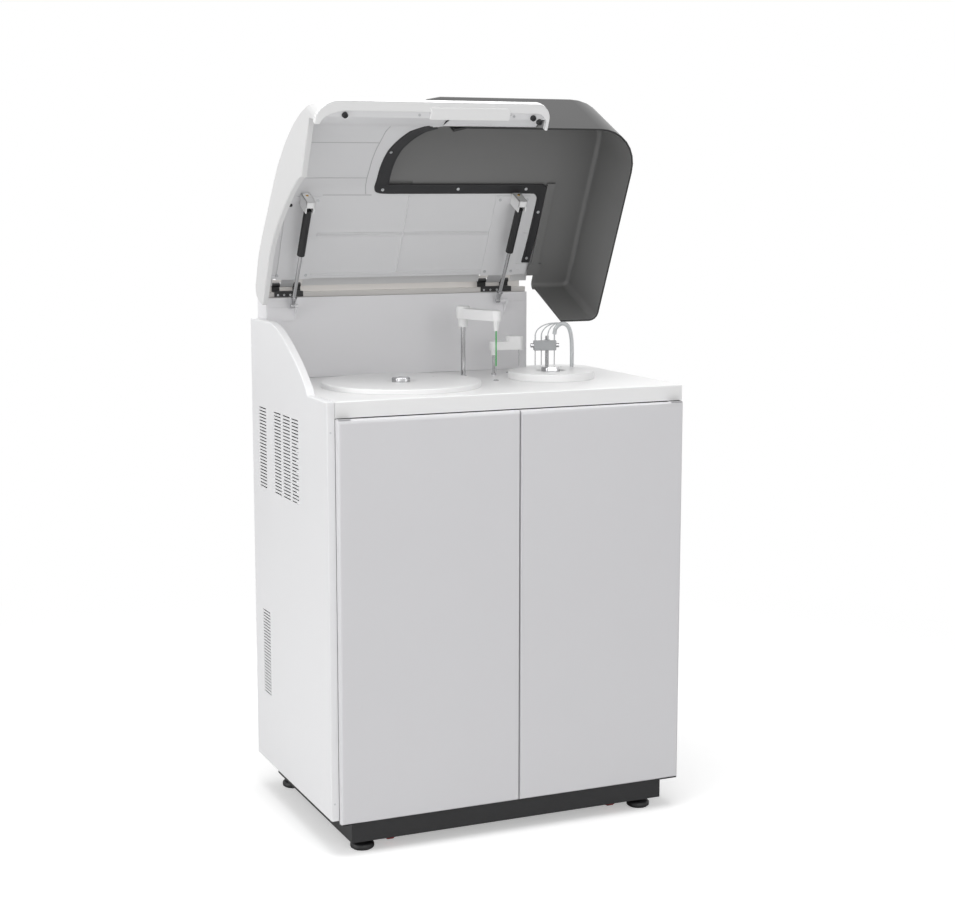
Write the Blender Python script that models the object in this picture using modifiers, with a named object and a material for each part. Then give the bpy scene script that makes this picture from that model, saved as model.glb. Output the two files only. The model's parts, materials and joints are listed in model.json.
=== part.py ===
"""Floor-standing chemistry analyzer with an open lid, built as separate named pieces.

Metres, +Z up, front towards -Y. The origin lies on the floor under the middle of the cabinet.
The lid is shown open. It is modelled closed, about its hinge, under an empty that is turned.
"""
import math

import bmesh
import bpy
from mathutils import Matrix, Vector

# Driving dimensions of the cabinet
WIDTH = 0.800
PANEL_FRONT_Y = -0.246
REAR_Y = 0.262
DOOR_FRONT_Y = -0.262
DOOR_BACK_Y = -0.2465
PLINTH_BOTTOM = 0.024
PANEL_BOTTOM = 0.0755
DOOR_BOTTOM = 0.070
DOOR_TOP = 0.898
APRON_BOTTOM = 0.900
DECK_TOP = 0.9335
WING_TOP = 1.0648
WELL_TOP = 1.1111
PANEL_DEPTH = 0.017
SKIN = 0.0015
GAP = 0.0003
OVERRUN = 0.004
SEAM_X = 0.013
SEAM_GAP = 0.002

# Driving dimensions of the lid, which turns about a line along X
HINGE_Y = 0.2276
HINGE_Z = 1.1377
LID_OPEN_ANGLE = math.radians(64.4)
SHELL_RIGHT_X = 0.2485
WELL_RIGHT_X = 0.2426

# Driving dimensions of the deck
REAGENT_X = -0.1598
REAGENT_Y = -0.0325
REAGENT_COVER_R = 0.1703
REAGENT_COVER_H = 0.0106
REAGENT_RING_R = 0.1146
REAGENT_HOLE_R = 0.160
REAGENT_POCKETS = 16
REACTION_X = 0.2006
REACTION_Y = -0.0161
REACTION_COVER_R = 0.0944
REACTION_COVER_H = 0.0167
REACTION_RING_R = 0.0841
REACTION_HOLE_R = 0.0905
CUVETTES = 36
SAMPLE_POST_X = 0.0333
SAMPLE_POST_Y = 0.0843
SAMPLE_POST_R = 0.005
SAMPLE_REACH = 0.1110
SAMPLE_REST_ANGLE = math.radians(-73.2)
MIXER_POST_X = 0.1118
MIXER_POST_Y = 0.0935
MIXER_POST_R = 0.003
MIXER_REACH = 0.0570
MIXER_REST_ANGLE = math.radians(-15.0)
MIXER_PARK_ANGLE = math.radians(30.0)
NEEDLE_TIP_Z = 0.9535

HALF = WIDTH / 2
PANEL_IN = HALF - PANEL_DEPTH
QUARTER_TURN = math.pi / 2
FULL_TURN = 2 * math.pi
SMOOTH_ANGLE = math.radians(32)
FLAT_ANGLE = math.radians(0.5)
PLANE_ANGLE = math.radians(0.05)
MERGE = 0.000002

PARTS_NAME = "chemistry_analyzer"
CUTTERS_NAME = "chemistry_analyzer_cutters"

PAINT_WHITE = ("paint_white", (0.76, 0.76, 0.77), 0.38, 0.0)
PAINT_GREY = ("paint_grey", (0.60, 0.595, 0.61), 0.40, 0.0)
PAINT_BEIGE = ("paint_beige", (0.62, 0.58, 0.52), 0.45, 0.0)
LINER_GREY = ("liner_grey", (0.52, 0.53, 0.54), 0.45, 0.0)
MOULD_WHITE = ("mould_white", (0.80, 0.80, 0.80), 0.32, 0.0)
SMOKED = ("smoked_plastic", (0.06, 0.06, 0.062), 0.18, 0.0)
SEAL_BLACK = ("seal_black", (0.016, 0.016, 0.017), 0.60, 0.0)
FRAME_BLACK = ("frame_black", (0.020, 0.020, 0.021), 0.50, 0.0)
STEEL = ("steel", (0.55, 0.56, 0.57), 0.30, 1.0)
CHROME = ("chrome", (0.78, 0.79, 0.80), 0.10, 1.0)
RED_TYRE = ("red_tyre", (0.42, 0.035, 0.025), 0.45, 0.0)
GREEN = ("green_sleeve", (0.02, 0.32, 0.05), 0.35, 0.0)
HOSE_GREY = ("hose_grey", (0.45, 0.46, 0.48), 0.35, 0.0)
MOTOR_BLACK = ("motor_black", (0.05, 0.05, 0.055), 0.50, 0.2)
GALVANISED = ("galvanised", (0.42, 0.43, 0.44), 0.45, 1.0)


# Scene and modelling helpers

def clear_scene():
    """Remove every object of the open file."""
    for obj in list(bpy.data.objects):
        bpy.data.objects.remove(obj, do_unlink=True)


def collection(name, hidden=False):
    """Make a collection under the scene."""
    made = bpy.data.collections.new(name)
    bpy.context.scene.collection.children.link(made)
    made.hide_render = hidden
    return made


def material(spec):
    """Make or fetch a Principled material from its name, colour, roughness and metallic value."""
    name, colour, roughness, metallic = spec
    found = bpy.data.materials.get(name)
    if found:
        return found
    made = bpy.data.materials.new(name)
    made.use_nodes = True
    shader = made.node_tree.nodes["Principled BSDF"]
    shader.inputs["Base Color"].default_value = (*colour, 1.0)
    shader.inputs["Roughness"].default_value = roughness
    shader.inputs["Metallic"].default_value = metallic
    return made


def from_bmesh(mesh_data, name="piece"):
    """Turn a bmesh into a working object that only Booleans see."""
    bmesh.ops.recalc_face_normals(mesh_data, faces=mesh_data.faces)
    mesh = bpy.data.meshes.new(name)
    mesh_data.to_mesh(mesh)
    mesh_data.free()
    obj = bpy.data.objects.new(name, mesh)
    bpy.data.collections[CUTTERS_NAME].objects.link(obj)
    obj.hide_render = True
    obj.display_type = "WIRE"
    return obj


def evaluated_mesh(obj):
    """Read an object's mesh with its modifiers, with loose doubles merged."""
    bpy.context.view_layer.update()
    graph = bpy.context.evaluated_depsgraph_get()
    mesh = bpy.data.meshes.new_from_object(obj.evaluated_get(graph))
    work = bmesh.new()
    work.from_mesh(mesh)
    bmesh.ops.remove_doubles(work, verts=work.verts, dist=MERGE)
    work.to_mesh(mesh)
    work.free()
    return mesh


def boxes(spans):
    """Make one object of separate boxes, each from its low and high corner."""
    work = bmesh.new()
    for low, high in spans:
        low = Vector(low)
        high = Vector(high)
        size = high - low
        place = Matrix.Translation((low + high) / 2) @ Matrix.Diagonal((*size, 1))
        bmesh.ops.create_cube(work, size=1, matrix=place)
    return from_bmesh(work)


def box(low, high):
    """Make a box from its low and high corner."""
    return boxes([(low, high)])


AXES = {
    "x": Matrix.Rotation(QUARTER_TURN, 4, "Y"),
    "y": Matrix.Rotation(-QUARTER_TURN, 4, "X"),
    "z": Matrix.Identity(4),
}


def rod(centre, radius, length, axis="z", sides=16, top_radius=None):
    """Make a cylinder or cone about a centre, along one axis."""
    work = bmesh.new()
    end = radius if top_radius is None else top_radius
    place = Matrix.Translation(centre) @ AXES[axis]
    bmesh.ops.create_cone(
        work, cap_ends=True, segments=sides, radius1=radius, radius2=end, depth=length, matrix=place)
    return from_bmesh(work)


def upright(x, y, low, high, radius, sides=16, top_radius=None):
    """Make a vertical cylinder between two heights."""
    return rod((x, y, (low + high) / 2), radius, high - low, "z", sides, top_radius)


def prism(outline, low, high, axis="z"):
    """Extrude a closed outline of (a, b) points between two places along an axis.

    The outline is read as (x, y) along z, as (y, z) along x and as (x, z) along y.
    """
    curve = bpy.data.curves.new("outline", "CURVE")
    curve.dimensions = "2D"
    curve.fill_mode = "BOTH"
    curve.extrude = (high - low) / 2
    spline = curve.splines.new("POLY")
    spline.points.add(len(outline) - 1)
    for point, (a, b) in zip(spline.points, outline):
        point.co = (a, b, 0.0, 1.0)
    spline.use_cyclic_u = True
    obj = bpy.data.objects.new("outline", curve)
    bpy.data.collections[CUTTERS_NAME].objects.link(obj)
    mesh = evaluated_mesh(obj)
    bpy.data.objects.remove(obj, do_unlink=True)
    middle = (low + high) / 2
    if axis == "x":
        turn = Matrix(((0, 0, 1, middle), (1, 0, 0, 0), (0, 1, 0, 0), (0, 0, 0, 1)))
    elif axis == "y":
        turn = Matrix(((1, 0, 0, 0), (0, 0, -1, middle), (0, 1, 0, 0), (0, 0, 0, 1)))
    else:
        turn = Matrix.Translation((0, 0, middle))
    mesh.transform(turn)
    work = bmesh.new()
    work.from_mesh(mesh)
    bpy.data.meshes.remove(mesh)
    bmesh.ops.dissolve_limit(work, angle_limit=PLANE_ANGLE, verts=work.verts, edges=work.edges)
    return from_bmesh(work)


def turned(profile, x=0.0, y=0.0, steps=24):
    """Turn a profile of (radius, z) points about a vertical line with a Screw modifier.

    The points run from the top down the outer side. A profile that ends on the axis at both
    ends makes a solid, and any other profile is closed into a ring.
    """
    on_axis = profile[0][0] == 0 and profile[-1][0] == 0
    work = bmesh.new()
    verts = [work.verts.new((radius, 0, z)) for radius, z in profile]
    for first, second in zip(verts, verts[1:]):
        work.edges.new((first, second))
    if not on_axis:
        work.edges.new((verts[-1], verts[0]))
    mesh = bpy.data.meshes.new("profile")
    work.to_mesh(mesh)
    work.free()
    obj = bpy.data.objects.new("profile", mesh)
    bpy.data.collections[CUTTERS_NAME].objects.link(obj)
    screw = obj.modifiers.new("turn", "SCREW")
    screw.axis = "Z"
    screw.steps = steps
    screw.render_steps = steps
    screw.use_merge_vertices = True
    screw.merge_threshold = MERGE
    result = evaluated_mesh(obj)
    bpy.data.objects.remove(obj, do_unlink=True)
    result.transform(Matrix.Translation((x, y, 0)))
    work = bmesh.new()
    work.from_mesh(result)
    bpy.data.meshes.remove(result)
    return from_bmesh(work)


def tube(points, radius, resolution=2):
    """Sweep a round section along a smooth curve through the points."""
    curve = bpy.data.curves.new("tube", "CURVE")
    curve.dimensions = "3D"
    curve.bevel_depth = radius
    curve.bevel_resolution = resolution
    curve.use_fill_caps = True
    spline = curve.splines.new("POLY")
    spline.points.add(len(points) - 1)
    for point, place in zip(spline.points, points):
        point.co = (*place, 1.0)
    obj = bpy.data.objects.new("tube", curve)
    bpy.data.collections[CUTTERS_NAME].objects.link(obj)
    mesh = evaluated_mesh(obj)
    bpy.data.objects.remove(obj, do_unlink=True)
    work = bmesh.new()
    work.from_mesh(mesh)
    bpy.data.meshes.remove(mesh)
    return from_bmesh(work)


def smooth_path(knots, steps):
    """Read points from a Catmull-Rom curve through the knots."""
    knots = [Vector(knot) for knot in knots]
    padded = [2 * knots[0] - knots[1]] + knots + [2 * knots[-1] - knots[-2]]
    points = []
    for a, b, c, d in zip(padded, padded[1:], padded[2:], padded[3:]):
        for step in range(steps):
            t = step / steps
            part = (2 * b + (c - a) * t + (2 * a - 5 * b + 4 * c - d) * t ** 2
                    + (3 * b - a - 3 * c + d) * t ** 3)
            points.append(part / 2)
    points.append(knots[-1])
    return points


def bezier(start, first, second, end, steps):
    """Sample a cubic curve of the plane, both ends included."""
    points = []
    for step in range(steps + 1):
        t = step / steps
        s = 1 - t
        weights = (s ** 3, 3 * s * s * t, 3 * s * t * t, t ** 3)
        corners = (start, first, second, end)
        points.append(tuple(sum(w * c[i] for w, c in zip(weights, corners)) for i in (0, 1)))
    return points


def arc(centre, radius, start, end, steps):
    """Sample an arc of the plane, both ends included, with its angles in radians."""
    points = []
    for step in range(steps + 1):
        angle = start + (end - start) * step / steps
        points.append((centre[0] + radius * math.cos(angle), centre[1] + radius * math.sin(angle)))
    return points


def round_edges(obj, radius, steps, chosen):
    """Round the edges that the test picks by their two end points."""
    work = bmesh.new()
    work.from_mesh(obj.data)
    picked = [edge for edge in work.edges
              if edge.calc_face_angle(0) > FLAT_ANGLE and chosen(edge.verts[0].co, edge.verts[1].co)]
    bmesh.ops.bevel(
        work, geom=picked, offset=radius, segments=steps, profile=0.5, affect="EDGES",
        clamp_overlap=False)
    bmesh.ops.remove_doubles(work, verts=work.verts, dist=MERGE)
    work.to_mesh(obj.data)
    work.free()
    return obj


def sharp_at(axis, value):
    """Make a test for edges that lie in the plane where one coordinate has a value."""
    return lambda a, b: abs(a[axis] - value) < MERGE and abs(b[axis] - value) < MERGE


def combine(base, joins=(), cuts=(), keeps=()):
    """Unite, intersect and cut a piece with others, and drop the others."""
    kinds = (("UNION", joins), ("INTERSECT", keeps), ("DIFFERENCE", cuts))
    for kind, others in kinds:
        for other in others:
            step = base.modifiers.new(kind.lower(), "BOOLEAN")
            step.operation = kind
            step.solver = "EXACT"
            step.object = other
    mesh = evaluated_mesh(base)
    base.modifiers.clear()
    base.data = mesh
    for _, others in kinds:
        for other in others:
            bpy.data.objects.remove(other, do_unlink=True)
    return base


def finish(obj, name, spec, origin=(0, 0, 0), parent=None, smooth=True):
    """Name a piece, put its origin in place, give it its material and file it with the parts."""
    obj.name = name
    obj.data.name = name
    obj.data.transform(Matrix.Translation(-Vector(origin)))
    obj.location = origin
    obj.data.materials.clear()
    obj.data.materials.append(material(spec))
    bpy.data.collections[CUTTERS_NAME].objects.unlink(obj)
    bpy.data.collections[PARTS_NAME].objects.link(obj)
    obj.hide_render = False
    obj.display_type = "TEXTURED"
    if smooth:
        obj.data.shade_smooth()
        obj.data.set_sharp_from_angle(angle=SMOOTH_ANGLE)
    if parent is not None:
        bpy.context.view_layer.update()
        obj.parent = parent
        obj.matrix_parent_inverse = parent.matrix_world.inverted()
    return obj


def polar(x, y, radius, angle):
    """Give the point at a radius and an angle round a centre."""
    return (x + radius * math.cos(angle), y + radius * math.sin(angle))


def hull_outline(first, first_r, second, second_r, steps):
    """Outline two circles of the plane and the straight sides that join them."""
    dx = second[0] - first[0]
    dy = second[1] - first[1]
    along = math.atan2(dy, dx)
    spread = math.acos((first_r - second_r) / math.hypot(dx, dy))
    back = arc(first, first_r, along + spread, along - spread + FULL_TURN, steps)
    front = arc(second, second_r, along - spread, along + spread, steps)
    return back + front


# Feet and casters

FOOT_PLACES = {
    "foot_front_left": (-0.3228, -0.2134),
    "foot_front_right": (0.3233, -0.2143),
    "foot_rear_left": (-0.3314, 0.2173),
    "foot_rear_right": (0.3233, 0.2170),
}
FOOT_R = 0.025
FOOT_RIM_R = 0.021
FOOT_DISC_H = 0.010
FOOT_SHOULDER_H = 0.014
FOOT_NUT_R = 0.0105
FOOT_STEM_R = 0.006
FOOT_STEM_TOP = 0.062

CASTER_PLACES = {
    "front_left": (-0.2600, -0.1850, -1),
    "front_right": (0.2555, -0.1850, -1),
    "rear_left": (-0.2600, 0.1850, 1),
    "rear_right": (0.2555, 0.1850, 1),
}
WHEEL_R = 0.025
WHEEL_WIDTH = 0.018
WHEEL_LIFT = 0.006
WHEEL_HUB_R = 0.014
WHEEL_HUB_DISH = 0.003
AXLE_R = 0.003
CASTER_TRAIL = 0.018
FORK_WALL = 0.002
FORK_HEAD_R = 0.017
FORK_HEAD_H = 0.004
FORK_LEG_TOP_HALF = 0.011
FORK_LEG_LOW_HALF = 0.0065
STEM_R = 0.005
STEM_LENGTH = 0.0075
SWIVEL_BOSS_R = 0.0135
SWIVEL_BOSS_H = 0.005

PLINTH_LEFT = -0.357
PLINTH_RIGHT = 0.360
PLINTH_REAR = 0.250
PLINTH_WALL = 0.003
PLINTH_TOP = PANEL_BOTTOM - GAP
FOOT_BLOCK_HALF = 0.018
PIVOT_PLATE = 0.0014
PIVOT_PLATE_HALF = 0.0065
PIVOT_PIN_R = 0.003
PIVOT_PIN_LENGTH = 0.010
DOOR_EDGE_TO_PIVOT = 0.0086
PIVOT_Y = -0.254
DOOR_LEFT = -0.3830
DOOR_RIGHT = 0.3956
PIVOT_LEFT_X = DOOR_LEFT + DOOR_EDGE_TO_PIVOT
PIVOT_RIGHT_X = DOOR_RIGHT - DOOR_EDGE_TO_PIVOT


def make_foot(name, x, y):
    """Turn a levelling foot: disc, shoulder, lock nut and threaded stem in one."""
    shoulder = PLINTH_BOTTOM - GAP
    profile = [
        (0, FOOT_STEM_TOP), (FOOT_STEM_R, FOOT_STEM_TOP), (FOOT_STEM_R, shoulder),
        (FOOT_NUT_R, shoulder), (FOOT_NUT_R, FOOT_SHOULDER_H + GAP), (FOOT_RIM_R, FOOT_SHOULDER_H),
        (FOOT_R, FOOT_DISC_H), (FOOT_R, FOOT_DISC_H - FOOT_SHOULDER_H / 2), (FOOT_RIM_R, 0), (0, 0)]
    foot = turned(profile, x, y, 16)
    return finish(foot, name, FRAME_BLACK, (x, y, 0))


def make_plinth():
    """Build the black base: a shallow tray open below, with foot blocks and swivel bosses."""
    outer = box((PLINTH_LEFT, PANEL_FRONT_Y, PLINTH_BOTTOM), (PLINTH_RIGHT, PLINTH_REAR, PLINTH_TOP))
    inner_left = PLINTH_LEFT + PLINTH_WALL
    inner_right = PLINTH_RIGHT - PLINTH_WALL
    inner_front = PANEL_FRONT_Y + PLINTH_WALL
    inner_rear = PLINTH_REAR - PLINTH_WALL
    ceiling = PLINTH_TOP - PLINTH_WALL
    hollow = box((inner_left, inner_front, PLINTH_BOTTOM - OVERRUN), (inner_right, inner_rear, ceiling))
    base = combine(outer, cuts=[hollow])
    joins = []
    cuts = []
    for x, y in FOOT_PLACES.values():
        side = PLINTH_LEFT + PLINTH_WALL / 2 if x < 0 else PLINTH_RIGHT - PLINTH_WALL / 2
        front = PANEL_FRONT_Y + PLINTH_WALL / 2 if y < 0 else PLINTH_REAR - PLINTH_WALL / 2
        inner_x = x + FOOT_BLOCK_HALF if x < 0 else x - FOOT_BLOCK_HALF
        inner_y = y + FOOT_BLOCK_HALF if y < 0 else y - FOOT_BLOCK_HALF
        low = (min(side, inner_x), min(front, inner_y), PLINTH_BOTTOM)
        high = (max(side, inner_x), max(front, inner_y), ceiling + PLINTH_WALL / 2)
        joins.append(box(low, high))
        cuts.append(upright(x, y, PLINTH_BOTTOM - OVERRUN, FOOT_STEM_TOP + OVERRUN,
                            FOOT_STEM_R + GAP, 12))
    for x, y, _ in CASTER_PLACES.values():
        joins.append(upright(x, y, ceiling - SWIVEL_BOSS_H, ceiling + PLINTH_WALL / 2, SWIVEL_BOSS_R))
        cuts.append(upright(x, y, ceiling - SWIVEL_BOSS_H - OVERRUN, PLINTH_TOP + OVERRUN,
                            STEM_R + GAP, 12))
    plate_top = DOOR_BOTTOM - GAP
    for x, inside in ((PIVOT_LEFT_X, PLINTH_LEFT), (PIVOT_RIGHT_X, PLINTH_RIGHT)):
        toward = 1 if x < 0 else -1
        outer_x = x - toward * PIVOT_PLATE_HALF
        inner_x = inside + toward * FOOT_BLOCK_HALF
        low = (min(outer_x, inner_x), PIVOT_Y - PIVOT_PLATE_HALF, plate_top - PIVOT_PLATE)
        high = (max(outer_x, inner_x), PANEL_FRONT_Y + PLINTH_WALL / 2, plate_top)
        joins.append(box(low, high))
        joins.append(upright(x, PIVOT_Y, plate_top - PIVOT_PLATE / 2, plate_top + PIVOT_PIN_LENGTH,
                             PIVOT_PIN_R, 20))
    return finish(combine(base, joins=joins, cuts=cuts), "base_plinth", FRAME_BLACK, smooth=False)


def make_caster(place, x, y, side):
    """Build a swivelling fork under the plinth and the red wheel that runs in it."""
    ceiling = PLINTH_TOP - PLINTH_WALL
    crown_top = ceiling - SWIVEL_BOSS_H - GAP
    crown_low = crown_top - FORK_HEAD_H
    axle_z = WHEEL_LIFT + WHEEL_R
    axle_y = y + side * CASTER_TRAIL
    leg_in = WHEEL_WIDTH / 2 + GAP * 2
    outline = hull_outline((axle_y, axle_z), FORK_LEG_LOW_HALF, (y, crown_low), FORK_LEG_TOP_HALF, 4)
    legs = []
    for turn in (-1, 1):
        near = x + turn * leg_in
        far = x + turn * (leg_in + FORK_WALL)
        leg = prism(outline, min(near, far), max(near, far), "x")
        top = box((x - FORK_HEAD_R, y - WHEEL_R * 2, crown_top - FORK_HEAD_H / 2),
                  (x + FORK_HEAD_R, y + WHEEL_R * 2, crown_top + WHEEL_R))
        legs.append(combine(leg, cuts=[top]))
    head = upright(x, y, crown_low, crown_top, FORK_HEAD_R)
    stem = upright(x, y, crown_top - FORK_HEAD_H / 2, crown_top + STEM_LENGTH, STEM_R, 12)
    bore = rod((x, axle_y, axle_z), AXLE_R + GAP, WHEEL_R * 2, "x", 12)
    room = rod((x, axle_y, axle_z), WHEEL_R + 2 * GAP, WHEEL_WIDTH + 2 * GAP, "x", 16)
    fork = combine(head, joins=[stem] + legs, cuts=[bore, room])
    finish(fork, "caster_fork_" + place, GALVANISED, (x, y, crown_top))
    half = WHEEL_WIDTH / 2
    reach = leg_in + FORK_WALL
    edge = WHEEL_R - WHEEL_HUB_DISH
    dish = half - WHEEL_HUB_DISH
    profile = [
        (0, reach), (AXLE_R, reach), (AXLE_R, dish), (WHEEL_HUB_R, half), (edge, half), (WHEEL_R, dish),
        (WHEEL_R, -dish), (edge, -half), (WHEEL_HUB_R, -half), (AXLE_R, -dish), (AXLE_R, -reach),
        (0, -reach)]
    wheel = turned(profile, 0, 0, 16)
    wheel.data.transform(AXES["x"])
    wheel.data.transform(Matrix.Translation((x, axle_y, axle_z)))
    finish(wheel, "caster_wheel_" + place, RED_TYRE, (x, axle_y, axle_z), fork)


# Welded frame and the pieces that stand in the cabinet

FRAME_TUBE = 0.020
FRAME_FRONT_Y = -0.2410
FRAME_REAR_Y = 0.2590
FRAME_SIDE = PANEL_IN - GAP
FRAME_TOP = APRON_BOTTOM - GAP
SHELF_Z = 0.500
SHELF_T = 0.003
PLATE_T = 0.003
DRIVE_LEFT = 0.012
DRIVE_RIGHT = 0.128
BUSH_WALL = 0.0024
BUSH_STAND = 0.004
BUSH_FOOT_R = 0.012
BUSH_FOOT_H = 0.008
LIFT_MOTOR_HALF = 0.016
LIFT_MOTOR_H = 0.050
POST_FOOT_Z = 0.872


def make_frame():
    """Weld the square-tube frame with its shelf and the upper door pivots."""
    side = FRAME_SIDE
    inner = side - FRAME_TUBE
    front = FRAME_FRONT_Y
    rear = FRAME_REAR_Y
    spans = []
    for low_x, high_x in ((-side, -inner), (inner, side)):
        for low_y, high_y in ((front, front + FRAME_TUBE), (rear - FRAME_TUBE, rear)):
            spans.append(((low_x, low_y, PANEL_BOTTOM), (high_x, high_y, FRAME_TOP)))
    posts = boxes(spans)
    joins = []
    for base in (PANEL_BOTTOM, FRAME_TOP - FRAME_TUBE):
        ring = box((-side, front, base), (side, rear, base + FRAME_TUBE))
        inside = box((-inner, front + FRAME_TUBE, base - OVERRUN),
                     (inner, rear - FRAME_TUBE, base + FRAME_TUBE + OVERRUN))
        joins.append(combine(ring, cuts=[inside]))
    joins.append(box((-inner - FRAME_TUBE / 2, front + FRAME_TUBE / 2, SHELF_Z),
                     (inner + FRAME_TUBE / 2, rear - FRAME_TUBE / 2, SHELF_Z + SHELF_T)))
    plate_low = DOOR_TOP + GAP
    for x in (PIVOT_LEFT_X, PIVOT_RIGHT_X):
        toward = 1 if x < 0 else -1
        edge = x - toward * PIVOT_PLATE_HALF
        inside = x + toward * FRAME_TUBE
        low = (min(edge, inside), PIVOT_Y - PIVOT_PLATE_HALF, plate_low)
        high = (max(edge, inside), front - GAP, plate_low + PIVOT_PLATE)
        joins.append(box(low, high))
        root = x + toward * PIVOT_PLATE_HALF
        joins.append(box((min(root, inside), PIVOT_Y, plate_low),
                         (max(root, inside), front + FRAME_TUBE / 2, plate_low + PIVOT_PLATE)))
        joins.append(upright(x, PIVOT_Y, plate_low - PIVOT_PIN_LENGTH, plate_low + PIVOT_PLATE / 2,
                             PIVOT_PIN_R, 20))
    return finish(combine(posts, joins=joins), "chassis_frame", FRAME_BLACK, smooth=False)


def make_drive_frame():
    """Build the plate under the deck that guides both arm posts and carries their lift motor."""
    plate_top = FRAME_TOP - FRAME_TUBE - GAP
    plate = box((DRIVE_LEFT, FRAME_FRONT_Y + FRAME_TUBE / 2, plate_top - PLATE_T),
                (DRIVE_RIGHT, FRAME_REAR_Y - FRAME_TUBE / 2, plate_top))
    joins = []
    cuts = []
    for x, y, radius in ((SAMPLE_POST_X, SAMPLE_POST_Y, SAMPLE_POST_R),
                         (MIXER_POST_X, MIXER_POST_Y, MIXER_POST_R)):
        bush = radius + BUSH_WALL
        joins.append(upright(x, y, plate_top - PLATE_T / 2, DECK_TOP + BUSH_STAND, bush))
        joins.append(upright(x, y, plate_top - PLATE_T / 2, plate_top + BUSH_FOOT_H, BUSH_FOOT_R))
        cuts.append(upright(x, y, plate_top - PLATE_T - OVERRUN, DECK_TOP + BUSH_STAND + OVERRUN,
                            radius + GAP))
    middle_x = (SAMPLE_POST_X + MIXER_POST_X) / 2
    middle_y = (SAMPLE_POST_Y + MIXER_POST_Y) / 2
    joins.append(box(
        (middle_x - LIFT_MOTOR_HALF, middle_y - LIFT_MOTOR_HALF, plate_top - LIFT_MOTOR_H),
        (middle_x + LIFT_MOTOR_HALF, middle_y + LIFT_MOTOR_HALF, plate_top - PLATE_T / 2)))
    return finish(combine(plate, joins=joins, cuts=cuts), "arm_drive_frame", STEEL)


SUPPLY_SIZE = (0.200, 0.240, 0.110)
SUPPLY_RIGHT = 0.330
SUPPLY_WALL = 0.0015
SUPPLY_SLOTS = 8
SUPPLY_SLOT = 0.004
SUPPLY_SLOT_H = 0.070
INLET_HALF_W = 0.024
INLET_HALF_H = 0.014
INLET_RIM = 0.0035
INLET_DEPTH = 0.018
INLET_PIN_HALF = 0.0012
INLET_PIN_PITCH = 0.007
SYRINGE_X = 0.160
SYRINGE_Y = -0.120
SYRINGE_PITCH = 0.060
SYRINGE_BODY_HALF = 0.026
SYRINGE_BODY_H = 0.190
SYRINGE_BODY_D = 0.070
SYRINGE_GLASS_R = 0.008
SYRINGE_GLASS_H = 0.085
SYRINGE_ROD_R = 0.003
SYRINGE_BLOCK_H = 0.020
SYRINGE_BASE_T = 0.010


def make_power_supply():
    """Build the supply case on the floor of the cabinet, with its inlet through the rear panel."""
    width, depth, height = SUPPLY_SIZE
    low_x = SUPPLY_RIGHT - width
    rear = FRAME_REAR_Y - FRAME_TUBE - GAP
    low_z = PLINTH_TOP + GAP
    case = box((low_x, rear - depth, low_z), (SUPPLY_RIGHT, rear, low_z + height))
    centre_x = SUPPLY_RIGHT - width / 2
    centre_z = low_z + height / 2
    neck = box((centre_x - INLET_HALF_W, rear - OVERRUN, centre_z - INLET_HALF_H),
               (centre_x + INLET_HALF_W, REAR_Y - GAP, centre_z + INLET_HALF_H))
    recess = box(
        (centre_x - INLET_HALF_W + INLET_RIM, REAR_Y - INLET_DEPTH, centre_z - INLET_HALF_H + INLET_RIM),
        (centre_x + INLET_HALF_W - INLET_RIM, REAR_Y + OVERRUN, centre_z + INLET_HALF_H - INLET_RIM))
    pins = boxes([((centre_x + step * INLET_PIN_PITCH - INLET_PIN_HALF,
                    REAR_Y - INLET_DEPTH - OVERRUN, centre_z - INLET_PIN_HALF * 2),
                   (centre_x + step * INLET_PIN_PITCH + INLET_PIN_HALF,
                    REAR_Y - INLET_RIM, centre_z + INLET_PIN_HALF * 2)) for step in (-1, 0, 1)])
    supply = combine(combine(case, joins=[neck], cuts=[recess]), joins=[pins])
    wall = SUPPLY_WALL
    front = rear - depth
    cavity = box((low_x + wall, front + wall, low_z + wall),
                 (SUPPLY_RIGHT - wall, rear - wall, low_z + height - wall))
    pitch = width / (SUPPLY_SLOTS + 1)
    slots = boxes([((low_x + step * pitch - SUPPLY_SLOT / 2, front - OVERRUN, centre_z - SUPPLY_SLOT_H / 2),
                    (low_x + step * pitch + SUPPLY_SLOT / 2, front + 2 * wall, centre_z + SUPPLY_SLOT_H / 2))
                   for step in range(1, SUPPLY_SLOTS + 1)])
    supply = combine(combine(supply, cuts=[cavity]), cuts=[slots])
    return finish(supply, "power_supply", GALVANISED, smooth=False)


def make_syringes():
    """Build the pair of syringe pumps that stands on the shelf."""
    floor = SHELF_Z + SHELF_T + GAP
    half = SYRINGE_BODY_HALF
    left = SYRINGE_X - SYRINGE_PITCH / 2
    right = SYRINGE_X + SYRINGE_PITCH / 2
    base = box((left - half - OVERRUN, SYRINGE_Y - half, floor),
               (right + half + OVERRUN, SYRINGE_Y + SYRINGE_BODY_D, floor + SYRINGE_BASE_T))
    joins = []
    for x in (left, right):
        low = floor + SYRINGE_BASE_T / 2
        joins.append(box((x - half, SYRINGE_Y, low),
                         (x + half, SYRINGE_Y + SYRINGE_BODY_D, low + SYRINGE_BODY_H)))
        y = SYRINGE_Y - half / 2
        top = low + SYRINGE_BODY_H
        joins.append(box((x - half / 2, y - half / 2, top - SYRINGE_BLOCK_H),
                         (x + half / 2, SYRINGE_Y + OVERRUN, top)))
        glass_top = top - SYRINGE_BLOCK_H / 2
        joins.append(upright(x, y, glass_top - SYRINGE_GLASS_H, glass_top, SYRINGE_GLASS_R))
        joins.append(upright(x, y, floor + SYRINGE_BASE_T / 2, glass_top - SYRINGE_GLASS_H / 2,
                             SYRINGE_ROD_R, 16))
    return finish(combine(base, joins=joins), "syringe_module", LINER_GREY)


# Side panels, rear panel, deck and the wall behind it

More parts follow.
